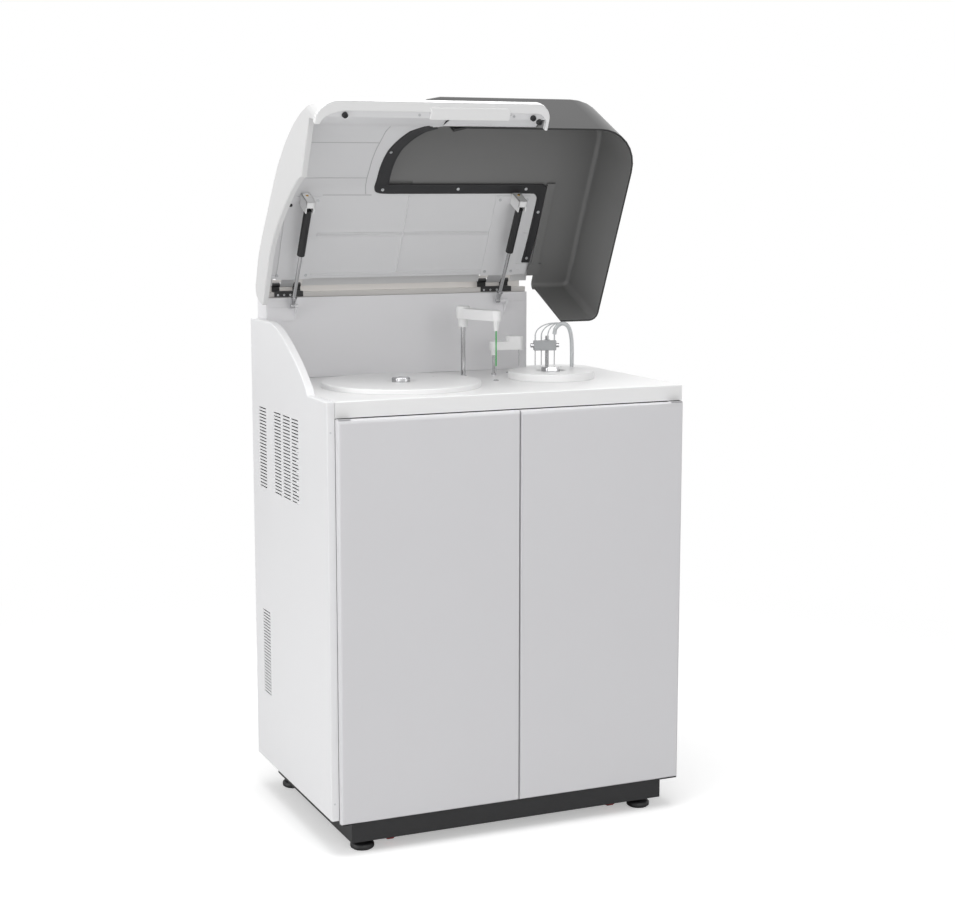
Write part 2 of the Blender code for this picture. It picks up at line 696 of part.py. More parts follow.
BULLNOSE = 0.0025
POCKET_LOW = 0.090
POCKET_HIGH = 0.885
POCKET_FRONT = -0.234
POCKET_REAR = 0.250
WING_FOOT_Y = -0.125
WING_FLAT_Y = 0.130
WING_LEAN_Y = -0.115
WING_LEAN_Z = 0.962
WING_PULL_Y = 0.050
WING_STEPS = 16
SHOULDER_Y = -0.2296
SHOULDER_Z = 0.932
VENT_PITCH = 0.0072
VENT_SLOT = 0.0026
VENT_LOW = 0.700
VENT_COUNT = 25
VENT_COLUMNS = ((0.158, 0.207), (0.054, 0.100), (-0.008, 0.039), (-0.064, -0.020))
FINE_PITCH = 0.0042
FINE_SLOT = 0.0018
FINE_LOW = 0.2355
FINE_COUNT = 46
FINE_COLUMN = (0.152, 0.203)
RIGHT_PANEL_FRONT_Y = -0.2405


def wing_curve():
    """Give the (y, z) points of the swept edge between the deck and the top of the wing."""
    return bezier((WING_FOOT_Y, DECK_TOP), (WING_LEAN_Y, WING_LEAN_Z), (WING_PULL_Y, WING_TOP),
                  (WING_FLAT_Y, WING_TOP), WING_STEPS)


def slot_spans(column, low_z, pitch, opening, count, low_x, high_x):
    """List the boxes of one column of slots."""
    near, far = column
    return [((low_x, near, low_z + step * pitch), (high_x, far, low_z + step * pitch + opening))
            for step in range(count)]


def make_left_panel():
    """Build the left side panel, whose rear rises in a swept wing beside the lid."""
    outline = [(PANEL_FRONT_Y, PANEL_BOTTOM), (REAR_Y, PANEL_BOTTOM), (REAR_Y, WING_TOP)]
    outline += list(reversed(wing_curve()))
    outline += [(SHOULDER_Y, SHOULDER_Z), (PANEL_FRONT_Y, SHOULDER_Z)]
    panel = prism(outline, -HALF, -PANEL_IN, "x")
    round_edges(panel, BULLNOSE, 2, sharp_at(0, -HALF))
    pocket = box((-HALF + SKIN, POCKET_FRONT, POCKET_LOW), (-PANEL_IN + OVERRUN, POCKET_REAR, POCKET_HIGH))
    low_x = -HALF - OVERRUN
    high_x = -HALF + SKIN + OVERRUN
    spans = []
    for column in VENT_COLUMNS:
        spans += slot_spans(column, VENT_LOW, VENT_PITCH, VENT_SLOT, VENT_COUNT, low_x, high_x)
    spans += slot_spans(FINE_COLUMN, FINE_LOW, FINE_PITCH, FINE_SLOT, FINE_COUNT, low_x, high_x)
    panel = combine(combine(panel, cuts=[pocket]), cuts=[boxes(spans)])
    return finish(panel, "side_panel_left", PAINT_WHITE)


def make_right_panel():
    """Build the right side panel, which ends under the deck."""
    panel = box((PANEL_IN, RIGHT_PANEL_FRONT_Y, PANEL_BOTTOM), (HALF, REAR_Y, FRAME_TOP))
    round_edges(panel, BULLNOSE, 2, sharp_at(0, HALF))
    pocket = box((PANEL_IN - OVERRUN, POCKET_FRONT, POCKET_LOW), (HALF - SKIN, POCKET_REAR, POCKET_HIGH))
    return finish(combine(panel, cuts=[pocket]), "side_panel_right", PAINT_WHITE)


REAR_T = 0.0024
REAR_VENT_X = -0.240
REAR_VENT_HALF = 0.060
REAR_VENT_LOW = 0.640
REAR_VENT_PITCH = 0.012
REAR_VENT_SLOT = 0.005
REAR_VENT_COUNT = 12


def make_rear_panel():
    """Cut the rear sheet with its fan slots and the opening for the power inlet."""
    side = PANEL_IN - GAP
    front = REAR_Y - REAR_T
    outline = [(-side, PANEL_BOTTOM), (side, PANEL_BOTTOM), (side, FRAME_TOP), (WELL_RIGHT_X, FRAME_TOP),
               (WELL_RIGHT_X, WELL_TOP), (-side, WELL_TOP)]
    sheet = prism(outline, front, REAR_Y, "y")
    spans = []
    for step in range(REAR_VENT_COUNT):
        low_z = REAR_VENT_LOW + step * REAR_VENT_PITCH
        spans.append(((REAR_VENT_X - REAR_VENT_HALF, front - OVERRUN, low_z),
                      (REAR_VENT_X + REAR_VENT_HALF, REAR_Y + OVERRUN, low_z + REAR_VENT_SLOT)))
    centre_x = SUPPLY_RIGHT - SUPPLY_SIZE[0] / 2
    centre_z = PLINTH_TOP + GAP + SUPPLY_SIZE[2] / 2
    spans.append((
        (centre_x - INLET_HALF_W - GAP, front - OVERRUN, centre_z - INLET_HALF_H - GAP),
        (centre_x + INLET_HALF_W + GAP, REAR_Y + OVERRUN, centre_z + INLET_HALF_H + GAP)))
    return finish(combine(sheet, cuts=[boxes(spans)]), "rear_panel", PAINT_WHITE, smooth=False)


DECK_WALL = 0.004
DECK_FRONT_R = 0.015
DECK_EDGE_R = 0.004
DECK_CORNER_R = 0.055
CUP_R = 0.004
CUP_WALL = 0.001
CUP_RIM = 0.0009
CUP_STAND = 0.0016
CUP_BOTTOM = 0.9045
CUP_FLOOR = 0.0020
CUP_BAR_HALF = 0.003
CUP_BAR_TOP = 0.912
CUP_BAR_BEND = (0.0800, 0.1050)
WASH_POST_X = 0.2380
WASH_POST_Y = 0.0817
HOSE_FOOT_X = 0.2850
HOSE_FOOT_Y = 0.0500
HOSE_R = 0.0045


def cup_places():
    """Give the places of the wash cups: under both parked needles and at the stirrer's second stop."""
    return [
        polar(SAMPLE_POST_X, SAMPLE_POST_Y, SAMPLE_REACH, SAMPLE_REST_ANGLE),
        polar(MIXER_POST_X, MIXER_POST_Y, MIXER_REACH, MIXER_REST_ANGLE),
        polar(MIXER_POST_X, MIXER_POST_Y, MIXER_REACH, MIXER_PARK_ANGLE)]


def deck_outline(inset):
    """Outline the deck in plan, with its rear right corner rounded."""
    left = -PANEL_IN + GAP + inset
    right = HALF - inset
    front = PANEL_FRONT_Y + inset
    rear = REAR_Y - REAR_T - GAP - inset
    radius = DECK_CORNER_R - inset
    corner = arc((right - radius, rear - radius), radius, 0, QUARTER_TURN, 8)
    return [(left, front), (right, front)] + corner + [(left, rear)]


def make_deck():
    """Mould the deck: a tray open below, pierced for the two carousels, the posts and the cups."""
    deck = prism(deck_outline(0), APRON_BOTTOM, DECK_TOP)
    front = PANEL_FRONT_Y

    def front_top(a, b):
        return sharp_at(2, DECK_TOP)(a, b) and sharp_at(1, front)(a, b)

    def side_top(a, b):
        middle = (a + b) / 2
        return sharp_at(2, DECK_TOP)(a, b) and middle.x > WELL_RIGHT_X and middle.y > front + DECK_FRONT_R

    round_edges(deck, DECK_FRONT_R, 5, front_top)
    round_edges(deck, DECK_EDGE_R, 2, side_top)
    hollow = prism(deck_outline(DECK_WALL), APRON_BOTTOM - OVERRUN, DECK_TOP - DECK_WALL)

    def hollow_front(a, b):
        return sharp_at(2, DECK_TOP - DECK_WALL)(a, b) and sharp_at(1, front + DECK_WALL)(a, b)

    round_edges(hollow, DECK_FRONT_R - DECK_WALL, 4, hollow_front)
    low = DECK_TOP - DECK_WALL - OVERRUN
    high = DECK_TOP + OVERRUN
    cuts = [hollow]
    cuts.append(upright(REAGENT_X, REAGENT_Y, low, high, REAGENT_HOLE_R, 40))
    cuts.append(upright(REACTION_X, REACTION_Y, low, high, REACTION_HOLE_R, 32))
    for x, y, radius in ((SAMPLE_POST_X, SAMPLE_POST_Y, SAMPLE_POST_R),
                         (MIXER_POST_X, MIXER_POST_Y, MIXER_POST_R)):
        cuts.append(upright(x, y, low, high, radius + BUSH_WALL + GAP))
    for x, y in cup_places():
        cuts.append(upright(x, y, low, high, CUP_R + CUP_WALL + GAP, 12))
    cuts.append(upright(HOSE_FOOT_X, HOSE_FOOT_Y, low, high, HOSE_R + GAP, 12))
    return finish(combine(deck, cuts=cuts), "deck_top", MOULD_WHITE)


def make_cups():
    """Build the three wash cups with the drain bar that joins them under the deck."""
    places = cup_places()
    outer = CUP_R + CUP_WALL
    top = DECK_TOP + GAP + CUP_STAND
    joins = []
    cuts = []
    for x, y in places:
        joins.append(upright(x, y, CUP_BOTTOM, top, outer, 12))
        joins.append(upright(x, y, DECK_TOP + GAP, top, outer + CUP_RIM, 12))
        cuts.append(upright(x, y, CUP_BOTTOM + CUP_FLOOR, top + OVERRUN, CUP_R, 12))
    route = [places[0], CUP_BAR_BEND, places[2], places[1]]
    for (ax, ay), (bx, by) in zip(route, route[1:]):
        half = CUP_BAR_HALF
        outline = hull_outline((ax, ay), half, (bx, by), half - GAP, 4)
        joins.append(prism(outline, CUP_BOTTOM, CUP_BAR_TOP))
    base = joins.pop(0)
    return finish(combine(base, joins=joins, cuts=cuts), "wash_cups", CHROME)


WELL_FRONT_Y = 0.2002
WELL_T = 0.002


def make_well_wall():
    """Fold the wall behind the deck: front, both cheeks and the top flange, open to the rear."""
    left = -PANEL_IN + GAP
    rear = REAR_Y - REAR_T - GAP
    low = DECK_TOP + GAP
    outer = box((left, WELL_FRONT_Y, low), (WELL_RIGHT_X, rear, WELL_TOP))
    inner = box((left + WELL_T, WELL_FRONT_Y + WELL_T, low - OVERRUN),
                (WELL_RIGHT_X - WELL_T, rear + OVERRUN, WELL_TOP - WELL_T))
    return finish(combine(outer, cuts=[inner]), "well_back_wall", PAINT_GREY, smooth=False)


# Doors

DOOR_SKIN = 0.002
DOOR_RIM = 0.006
DOOR_EDGE_R = 0.0045
DOOR_BOSS = 0.0155
DOOR_BOSS_H = 0.016


def make_door(name, low_x, high_x, pivot_x):
    """Build an overlay door: a pan with round outer edges and a pivot block in two corners."""
    pan = box((low_x, DOOR_FRONT_Y, DOOR_BOTTOM), (high_x, DOOR_BACK_Y, DOOR_TOP))
    round_edges(pan, DOOR_EDGE_R, 3, sharp_at(1, DOOR_FRONT_Y))
    pocket = box((low_x + DOOR_RIM, DOOR_FRONT_Y + DOOR_SKIN, DOOR_BOTTOM + DOOR_RIM),
                 (high_x - DOOR_RIM, DOOR_BACK_Y + OVERRUN, DOOR_TOP - DOOR_RIM))
    pan = combine(pan, cuts=[pocket])
    left_side = pivot_x < 0
    near = low_x + DOOR_RIM / 2 if left_side else high_x - DOOR_BOSS
    far = low_x + DOOR_BOSS if left_side else high_x - DOOR_RIM / 2
    joins = []
    cuts = []
    for low_z, high_z, hole_low, hole_high in (
            (DOOR_BOTTOM + DOOR_RIM / 2, DOOR_BOTTOM + DOOR_BOSS_H,
             DOOR_BOTTOM - OVERRUN, DOOR_BOTTOM + PIVOT_PIN_LENGTH + GAP),
            (DOOR_TOP - DOOR_BOSS_H, DOOR_TOP - DOOR_RIM / 2,
             DOOR_TOP - PIVOT_PIN_LENGTH - GAP, DOOR_TOP + OVERRUN)):
        joins.append(box((near, DOOR_FRONT_Y + DOOR_SKIN / 2, low_z), (far, DOOR_BACK_Y, high_z)))
        cuts.append(upright(pivot_x, PIVOT_Y, hole_low, hole_high, PIVOT_PIN_R + GAP, 20))
    door = combine(pan, joins=joins, cuts=cuts)
    return finish(door, name, PAINT_GREY, (pivot_x, PIVOT_Y, DOOR_BOTTOM))


# Carousels

TUB_WALL = 0.0025
TUB_BOTTOM = 0.846
TUB_FLANGE_R = 0.1655
TUB_FLANGE_T = 0.0012
BATH_WALL = 0.0010
BATH_BOTTOM = 0.8900
BATH_FLANGE_R = 0.0912
SHAFT_R = 0.004
MOTOR_HALF = 0.021
MOTOR_H = 0.042
MOTOR_NECK_R = 0.011
MOTOR_NECK_H = 0.002
TURNTABLE_R = 0.1540
TURNTABLE_TOP = 0.9300
TURNTABLE_LOW = 0.8640
TURNTABLE_RIM_LOW = 0.9240
POCKET_R = 0.0125
POCKET_CUP_R = 0.0140
POCKET_FLOOR = 0.8700
HUB_R = 0.020
WHEEL_RIM_GAP = 0.0005
CUVETTE_LOW = 0.8960
CUVETTE_FLOOR = 0.8990
CUVETTE_TOP = 0.9300
CUVETTE_HALF = 0.0026
CUVETTE_BAND = 0.0044
CUVETTE_WEB = 0.003


def make_tub(name, x, y, hole_r, wall, bottom, flange_r, flange_t, sides):
    """Turn a tub that hangs by its flange in a hole of the deck."""
    outer = hole_r - GAP
    top = DECK_TOP + GAP + flange_t
    profile = [
        (outer - wall, top), (flange_r, top), (flange_r, DECK_TOP + GAP), (outer, DECK_TOP + GAP),
        (outer, bottom), (MOTOR_NECK_R + GAP, bottom), (MOTOR_NECK_R + GAP, bottom + wall),
        (outer - wall, bottom + wall)]
    return finish(turned(profile, x, y, sides), name, STEEL, (x, y, bottom))


def make_motor(name, x, y, tub_bottom, tub_wall):
    """Build a square motor under a tub, with the neck that centres it and the bore for its shaft."""
    top = tub_bottom - GAP
    body = box((x - MOTOR_HALF, y - MOTOR_HALF, top - MOTOR_H), (x + MOTOR_HALF, y + MOTOR_HALF, top))
    corner = MOTOR_HALF / 6
    round_edges(body, corner, 1, lambda a, b: abs(a.x - b.x) < MERGE and abs(a.y - b.y) < MERGE)
    neck = upright(x, y, top - MOTOR_NECK_H, tub_bottom + tub_wall, MOTOR_NECK_R)
    bore = upright(x, y, top - MOTOR_H / 2 - OVERRUN, tub_bottom + tub_wall + OVERRUN, SHAFT_R + GAP, 20)
    return finish(combine(body, joins=[neck], cuts=[bore]), name, MOTOR_BLACK)


def make_turntable():
    """Build the reagent carousel: a disc with a ring of bottle cups, its hub and its shaft."""
    x, y = REAGENT_X, REAGENT_Y
    neck_top = TUB_BOTTOM + TUB_WALL
    disc_low = TURNTABLE_RIM_LOW
    shaft_low = TUB_BOTTOM - GAP - MOTOR_H / 2
    profile = [
        (0, TURNTABLE_TOP), (TURNTABLE_R, TURNTABLE_TOP), (TURNTABLE_R, disc_low), (HUB_R, disc_low),
        (HUB_R, neck_top + GAP), (SHAFT_R, neck_top + GAP), (SHAFT_R, shaft_low), (0, shaft_low)]
    disc = turned(profile, x, y, 40)
    start = math.atan2(SAMPLE_POST_Y - y, SAMPLE_POST_X - x)
    joins = []
    cuts = []
    for step in range(REAGENT_POCKETS):
        px, py = polar(x, y, REAGENT_RING_R, start + FULL_TURN * step / REAGENT_POCKETS)
        joins.append(upright(px, py, TURNTABLE_LOW, disc_low + GAP, POCKET_CUP_R, 8))
        cuts.append(upright(px, py, POCKET_FLOOR, TURNTABLE_TOP + OVERRUN, POCKET_R, 8))
    return finish(combine(disc, joins=joins, cuts=cuts), "reagent_turntable", MOULD_WHITE, (x, y, neck_top))


def make_cuvette_wheel():
    """Build the reaction wheel: a ring of square cuvette wells on a web, with its hub and shaft."""
    x, y = REACTION_X, REACTION_Y
    outer = REACTION_HOLE_R - GAP - BATH_WALL - WHEEL_RIM_GAP
    inner = REACTION_RING_R - CUVETTE_BAND
    neck_top = BATH_BOTTOM + BATH_WALL
    shaft_low = BATH_BOTTOM - GAP - MOTOR_H / 2
    web_low = CUVETTE_LOW
    hub_low = neck_top + GAP
    profile = [
        (0, web_low + CUVETTE_WEB), (inner, web_low + CUVETTE_WEB), (inner, CUVETTE_TOP),
        (outer, CUVETTE_TOP), (outer, web_low), (HUB_R, web_low), (HUB_R, hub_low), (SHAFT_R, hub_low),
        (SHAFT_R, shaft_low), (0, shaft_low)]
    wheel = turned(profile, x, y, CUVETTES)
    start = math.atan2(SAMPLE_POST_Y - y, SAMPLE_POST_X - x)
    work = bmesh.new()
    for step in range(CUVETTES):
        angle = start + FULL_TURN * step / CUVETTES
        px, py = polar(x, y, REACTION_RING_R, angle)
        place = (Matrix.Translation((px, py, (CUVETTE_FLOOR + CUVETTE_TOP + OVERRUN) / 2))
                 @ Matrix.Rotation(angle, 4, "Z")
                 @ Matrix.Diagonal((2 * CUVETTE_HALF, 2 * CUVETTE_HALF,
                                    CUVETTE_TOP + OVERRUN - CUVETTE_FLOOR, 1)))
        bmesh.ops.create_cube(work, size=1, matrix=place)
    return finish(combine(wheel, cuts=[from_bmesh(work)]), "cuvette_wheel", MOULD_WHITE, (x, y, neck_top))


COVER_WALL = 0.0025
COVER_EDGE = 0.0030
RECESS_R = 0.030
RECESS_DEPTH = 0.0040
RECESS_SLOPE = 0.004
KNOB_STEM_R = 0.005
KNOB_STEM_DROP = 0.006
NEEDLE_HOLE_R = 0.0032
KNOB_H = 0.011
KNOB_LOBES = 5
REAGENT_KNOB_R = 0.0205
REACTION_KNOB_R = 0.0215
KNOB_LOBE = 0.0022
KNOB_EDGE = 0.002


def make_cover(name, x, y, radius, height, holes):
    """Turn a carousel cover: a flat cap with a round edge, a knob recess and its needle holes."""
    low = DECK_TOP + GAP
    top = low + height
    floor = top - RECESS_DEPTH
    edge = COVER_EDGE
    wall = COVER_WALL
    stem = KNOB_STEM_R + GAP
    rounded = [(radius - edge + edge * math.sin(turn), top - edge + edge * math.cos(turn))
               for turn in (0, QUARTER_TURN / 2, QUARTER_TURN)]
    profile = [(stem, floor), (RECESS_R, floor), (RECESS_R + RECESS_SLOPE, top)] + rounded
    profile += [(radius, low), (radius - wall, low), (radius - wall, top - wall),
                (RECESS_R + RECESS_SLOPE + wall, top - wall), (RECESS_R + wall, floor - wall),
                (stem, floor - wall)]
    cover = turned(profile, x, y, 40)
    cuts = [upright(hx, hy, low - OVERRUN, top + OVERRUN, NEEDLE_HOLE_R, 8) for hx, hy in holes]
    return finish(combine(cover, cuts=cuts), name, MOULD_WHITE, (x, y, low))


def make_knob(name, x, y, cover_height, radius, parent):
    """Build a lobed knob with its stem, seated in the recess of a cover."""
    floor = DECK_TOP + GAP + cover_height - RECESS_DEPTH
    low = floor + GAP
    count = KNOB_LOBES * 6
    outline = []
    for step in range(count):
        angle = FULL_TURN * step / count
        outline.append(polar(x, y, radius - KNOB_LOBE + KNOB_LOBE * math.cos(KNOB_LOBES * angle), angle))
    knob = prism(outline, low, low + KNOB_H)
    round_edges(knob, KNOB_EDGE, 1, sharp_at(2, low + KNOB_H))
    stem = upright(x, y, floor - KNOB_STEM_DROP, low + KNOB_H / 2, KNOB_STEM_R, 12)
    return finish(combine(knob, joins=[stem]), name, CHROME, (x, y, low), parent)


# Sampling arm, stirring arm and wash station

SAMPLE_POST_TOP = 1.0797
SAMPLE_BOSS_LOW = 1.0445
SAMPLE_BOSS_R = 0.0105
SAMPLE_ARM_LOW = 1.0631
SAMPLE_ARM_TOP = 1.0862
SAMPLE_HEAD_TOP = 1.0905
SAMPLE_HEAD_R = 0.0150
SAMPLE_ARM_R = 0.0135
SAMPLE_TIP_R = 0.0110
ARM_EDGE = 0.004
NOZZLE_LOW = 1.0420
NOZZLE_R = 0.0065
NOZZLE_TIP_R = 0.0045
SLEEVE_R = 0.0016
SLEEVE_LOW = 0.9656
SLEEVE_SEAT = 0.008
NEEDLE_R = 0.0007
MIXER_POST_TOP = 1.0030
MIXER_BOSS_LOW = 0.9782
MIXER_BOSS_R = 0.0070
MIXER_ARM_LOW = 0.9899
MIXER_ARM_TOP = 1.0090
MIXER_HEAD_TOP = 1.0210
MIXER_ARM_R = 0.0105
MIXER_TIP_R = 0.0090
MIXER_HEAD_SHARE = 0.62
MIXER_ROD_R = 0.0010
MIXER_EDGE = 0.003
WASH_POST_R = 0.004
WASH_POST_TOP = 1.0180
WASH_FLANGE_R = 0.0095
WASH_FLANGE_H = 0.004
WASH_LOW = 0.9873
WASH_TOP = 1.0096
WASH_HALF = 0.0255
WASH_HALF_D = 0.0070
WASH_ANGLE_STEPS = (9, 8, 7, 6)
WASH_PROBE_R = 0.0011
WASH_TUBE_R = 0.0016
WASH_TUBE_TOP = 1.0227
WASH_SCREW_R = 0.0048
WASH_SCREW_L = 0.007
WASH_COLLAR_R = 0.0075
WASH_EDGE = 0.0015
HOSE_KNOTS = (
    (0.2439, 0.0560, 1.0236), (0.2455, 0.0520, 1.0370), (0.2560, 0.0430, 1.0475),
    (0.2700, 0.0400, 1.0410), (0.2800, 0.0440, 1.0180), (0.2845, 0.0490, 0.9850),
    (0.2850, 0.0500, 0.9560), (0.2850, 0.0500, 0.9300))
HOSE_STEPS = 4


def make_post(name, x, y, radius, top):
    """Make the steel post that carries an arm through its guide in the deck."""
    post = upright(x, y, POST_FOOT_Z, top, radius)
    round_edges(post, radius / 5, 1, sharp_at(2, top))
    return finish(post, name, CHROME, (x, y, POST_FOOT_Z))


def make_sample_arm(post):
    """Build the sampling arm: post boss, tapered body, raised head and nozzle."""
    x, y = SAMPLE_POST_X, SAMPLE_POST_Y
    tip = polar(x, y, SAMPLE_REACH, SAMPLE_REST_ANGLE)
    outline = hull_outline((x, y), SAMPLE_ARM_R, tip, SAMPLE_TIP_R, 7)
    body = prism(outline, SAMPLE_ARM_LOW, SAMPLE_ARM_TOP)
    round_edges(body, ARM_EDGE, 2, sharp_at(2, SAMPLE_ARM_TOP))
    head = upright(x, y, SAMPLE_ARM_LOW + GAP, SAMPLE_HEAD_TOP, SAMPLE_HEAD_R, 20)
    round_edges(head, ARM_EDGE / 2, 2, sharp_at(2, SAMPLE_HEAD_TOP))
    boss = upright(x, y, SAMPLE_BOSS_LOW, SAMPLE_ARM_LOW + GAP, SAMPLE_BOSS_R)
    nozzle = upright(tip[0], tip[1], NOZZLE_LOW, SAMPLE_ARM_LOW + GAP, NOZZLE_TIP_R, 16, NOZZLE_R)
    bore = upright(x, y, SAMPLE_BOSS_LOW - OVERRUN, SAMPLE_POST_TOP + GAP, SAMPLE_POST_R + GAP)
    seat = upright(tip[0], tip[1], NOZZLE_LOW - OVERRUN, NOZZLE_LOW + SLEEVE_SEAT + GAP,
                   SLEEVE_R + GAP, 8)
    arm = combine(body, joins=[head, boss, nozzle], cuts=[bore, seat])
    finish(arm, "sample_arm", MOULD_WHITE, (x, y, SAMPLE_BOSS_LOW), post)
    top = NOZZLE_LOW + SLEEVE_SEAT
    profile = [(0, top), (SLEEVE_R, top), (SLEEVE_R, SLEEVE_LOW), (NEEDLE_R, SLEEVE_LOW),
               (NEEDLE_R, NEEDLE_TIP_Z), (0, NEEDLE_TIP_Z)]
    finish(turned(profile, tip[0], tip[1], 8), "sample_probe", GREEN, (tip[0], tip[1], top), arm)


def make_mixer_arm(post):
    """Build the stirring arm with its raised outer head and its stirring rod."""
    x, y = MIXER_POST_X, MIXER_POST_Y
    tip = polar(x, y, MIXER_REACH, MIXER_REST_ANGLE)
    inner = polar(x, y, MIXER_REACH * MIXER_HEAD_SHARE, MIXER_REST_ANGLE)
    body = prism(hull_outline((x, y), MIXER_ARM_R, tip, MIXER_TIP_R, 6), MIXER_ARM_LOW, MIXER_ARM_TOP)
    round_edges(body, MIXER_EDGE, 2, sharp_at(2, MIXER_ARM_TOP))
    head = prism(hull_outline(inner, MIXER_TIP_R, tip, MIXER_TIP_R - GAP, 5),
                 MIXER_ARM_LOW + MIXER_EDGE, MIXER_HEAD_TOP)
    round_edges(head, MIXER_EDGE, 2, sharp_at(2, MIXER_HEAD_TOP))
    boss = upright(x, y, MIXER_BOSS_LOW, MIXER_ARM_LOW + GAP, MIXER_BOSS_R)
    stirrer = upright(tip[0], tip[1], NEEDLE_TIP_Z, MIXER_ARM_LOW + GAP, MIXER_ROD_R, 12)
    bore = upright(x, y, MIXER_BOSS_LOW - OVERRUN, MIXER_POST_TOP + GAP, MIXER_POST_R + GAP, 20)
    arm = combine(body, joins=[head, boss, stirrer], cuts=[bore])
    finish(arm, "mixer_arm", MOULD_WHITE, (x, y, MIXER_BOSS_LOW), post)


def probe_places():
    """Give the places of the wash probes over the reaction ring."""
    start = math.atan2(SAMPLE_POST_Y - REACTION_Y, SAMPLE_POST_X - REACTION_X)
    pitch = FULL_TURN / CUVETTES
    return [polar(REACTION_X, REACTION_Y, REACTION_RING_R, start - step * pitch)
            for step in WASH_ANGLE_STEPS]


def make_wash_station():
    """Build the wash post on the deck and the head with its probes, tubes and thumbscrews."""
    x, y = WASH_POST_X, WASH_POST_Y
    low = DECK_TOP + GAP
    profile = [(0, WASH_POST_TOP), (WASH_POST_R, WASH_POST_TOP), (WASH_POST_R, low + WASH_FLANGE_H),
               (WASH_FLANGE_R, low + WASH_FLANGE_H), (WASH_FLANGE_R, low), (0, low)]
    finish(turned(profile, x, y, 24), "wash_post", CHROME, (x, y, low))
    places = probe_places()
    middle = (Vector(places[0]) + Vector(places[-1])) / 2
    along = (Vector(places[-1]) - Vector(places[0])).normalized()
    turn = Matrix.Translation((*middle, 0)) @ Matrix.Rotation(math.atan2(along.y, along.x), 4, "Z")
    head = box((-WASH_HALF, -WASH_HALF_D, WASH_LOW), (WASH_HALF, WASH_HALF_D, WASH_TOP))
    round_edges(head, WASH_EDGE, 1, lambda a, b: True)
    head.data.transform(turn)
    joins = [upright(x, y, WASH_LOW + GAP, WASH_TOP - GAP, WASH_COLLAR_R, 20)]
    joins.append(prism(hull_outline((x, y), WASH_HALF_D / 2, tuple(middle), WASH_HALF_D / 2 - GAP, 6),
                       WASH_LOW + 2 * WASH_EDGE, WASH_TOP - 2 * WASH_EDGE))
    for side in (-1, 1):
        screw = rod((side * (WASH_HALF + WASH_SCREW_L / 2 - GAP), 0, (WASH_LOW + WASH_TOP) / 2),
                    WASH_SCREW_R, WASH_SCREW_L, "x", 16)
        screw.data.transform(turn)
        joins.append(screw)
    for px, py in places:
        joins.append(upright(px, py, NEEDLE_TIP_Z, WASH_LOW + WASH_EDGE, WASH_PROBE_R, 8))
        joins.append(upright(px, py, WASH_TOP - WASH_EDGE, WASH_TUBE_TOP, WASH_TUBE_R, 8))
    bore = upright(x, y, WASH_LOW - OVERRUN, WASH_TOP + OVERRUN, WASH_POST_R + GAP)
    head = combine(head, joins=joins, cuts=[bore])
    return finish(head, "wash_head", MOULD_WHITE, (x, y, WASH_LOW))


def make_hose():
    """Sweep the drain hose that arches from the wash head to its hole in the deck."""
    hose = tube(smooth_path(HOSE_KNOTS, HOSE_STEPS), HOSE_R)
    return finish(hose, "hose_arch", HOSE_GREY)


# Lid: shapes in closed position, measured from the hinge line

LID_LEFT = -HALF
LID_WALL_IN = -0.388
LID_RIGHT_IN = 0.2445
SHELL_T = 0.0025
LINER_T = 0.002
JOIN_STEP = 0.00008
SKIN_REAR_Y = -0.0020
SKIN_LINE = (
    (-0.0022, -0.0066), (-0.0420, -0.0024), (-0.0783, -0.0005), (-0.1245, -0.0080), (-0.1707, -0.0182),
    (-0.2205, -0.0286), (-0.2703, -0.0395), (-0.3160, -0.0530), (-0.3586, -0.0710), (-0.3960, -0.0910),
    (-0.4313, -0.1142), (-0.4741, -0.1517), (-0.5069, -0.1926), (-0.5240, -0.2190), (-0.5328, -0.2359))
WALL_REAR = ((-0.0022, -0.0066), (0.0080, -0.0120), (0.0150, -0.0213), (0.0165, -0.0450), (0.0120, -0.0650))
RIM_Z = -0.0685
RIM_CLEARANCE = 0.0045
DECK_CLEARANCE = 0.0035
LIP_BACK_Y = -0.4800
LIP_LOW_Y = -0.4900
LIP_LOW_Z = -0.2359
LIP_RIGHT = 0.105
LIP_CUT_X = -0.100
LIP_INNER = ((-0.5230, -0.2359), (-0.4890, -0.2060), (-0.4690, -0.1760), (-0.4520, -0.1550))
LIP_TOP = (-0.4600, -0.1400)
EDGE_Y = -0.2560
EDGE_CURVE = ((-0.1500, -0.2560), (-0.1720, -0.3350), (-0.1700, -0.4250), (-0.0900, -0.4600))
EDGE_STEPS = 12
LINER_LOW = ((-0.0340, -0.0355), (-0.2390, -0.0405), (-0.2580, -0.0430), (-0.3000, -0.0660),
             (-0.3680, -0.1010), (-0.4300, -0.1440), (-0.4540, -0.1720))
LINER_REAR = ((-0.0330, -0.0262), (-0.0240, -0.0110))
RIB_PLACES_Y = (-0.1403, -0.0453)
RIB_HALF = 0.0012
RIB_DROP = 0.0020
HOOD_TOP = -0.036
HOOD_LOW = -0.2012
HOOD_WALL = 0.004
HOOD_RIGHT = 0.345
HOOD_FRONT = -0.4660
HOOD_LEFT_REAR = 0.2490
HOOD_REAR_WALL_X = 0.2550
HOOD_CORNER_R = 0.100
HOOD_REAR_R = 0.020
HOOD_EDGE_R = 0.014
HOOD_GAP = 0.0005
HOOD_FRONT_LEFT_X = -0.060
GASKET_T = 0.0025
GASKET_W = 0.0165
GASKET_END_Y = -0.065
GASKET_LEG_LEFT = 0.2125
GASKET_LEG_RIGHT = 0.2302
GASKET_ROW_Y = -0.2390
LEAF_SPANS = {"left": (-0.3610, -0.2955), "right": (0.1300, 0.2066)}
LEAF_T = 0.0015
NECK_T = 0.0016
NOTCH_CLEARANCE = 0.002
BARREL_R = 0.005
HINGE_PIN_R = 0.0022
KNUCKLE_SHARE = 0.27
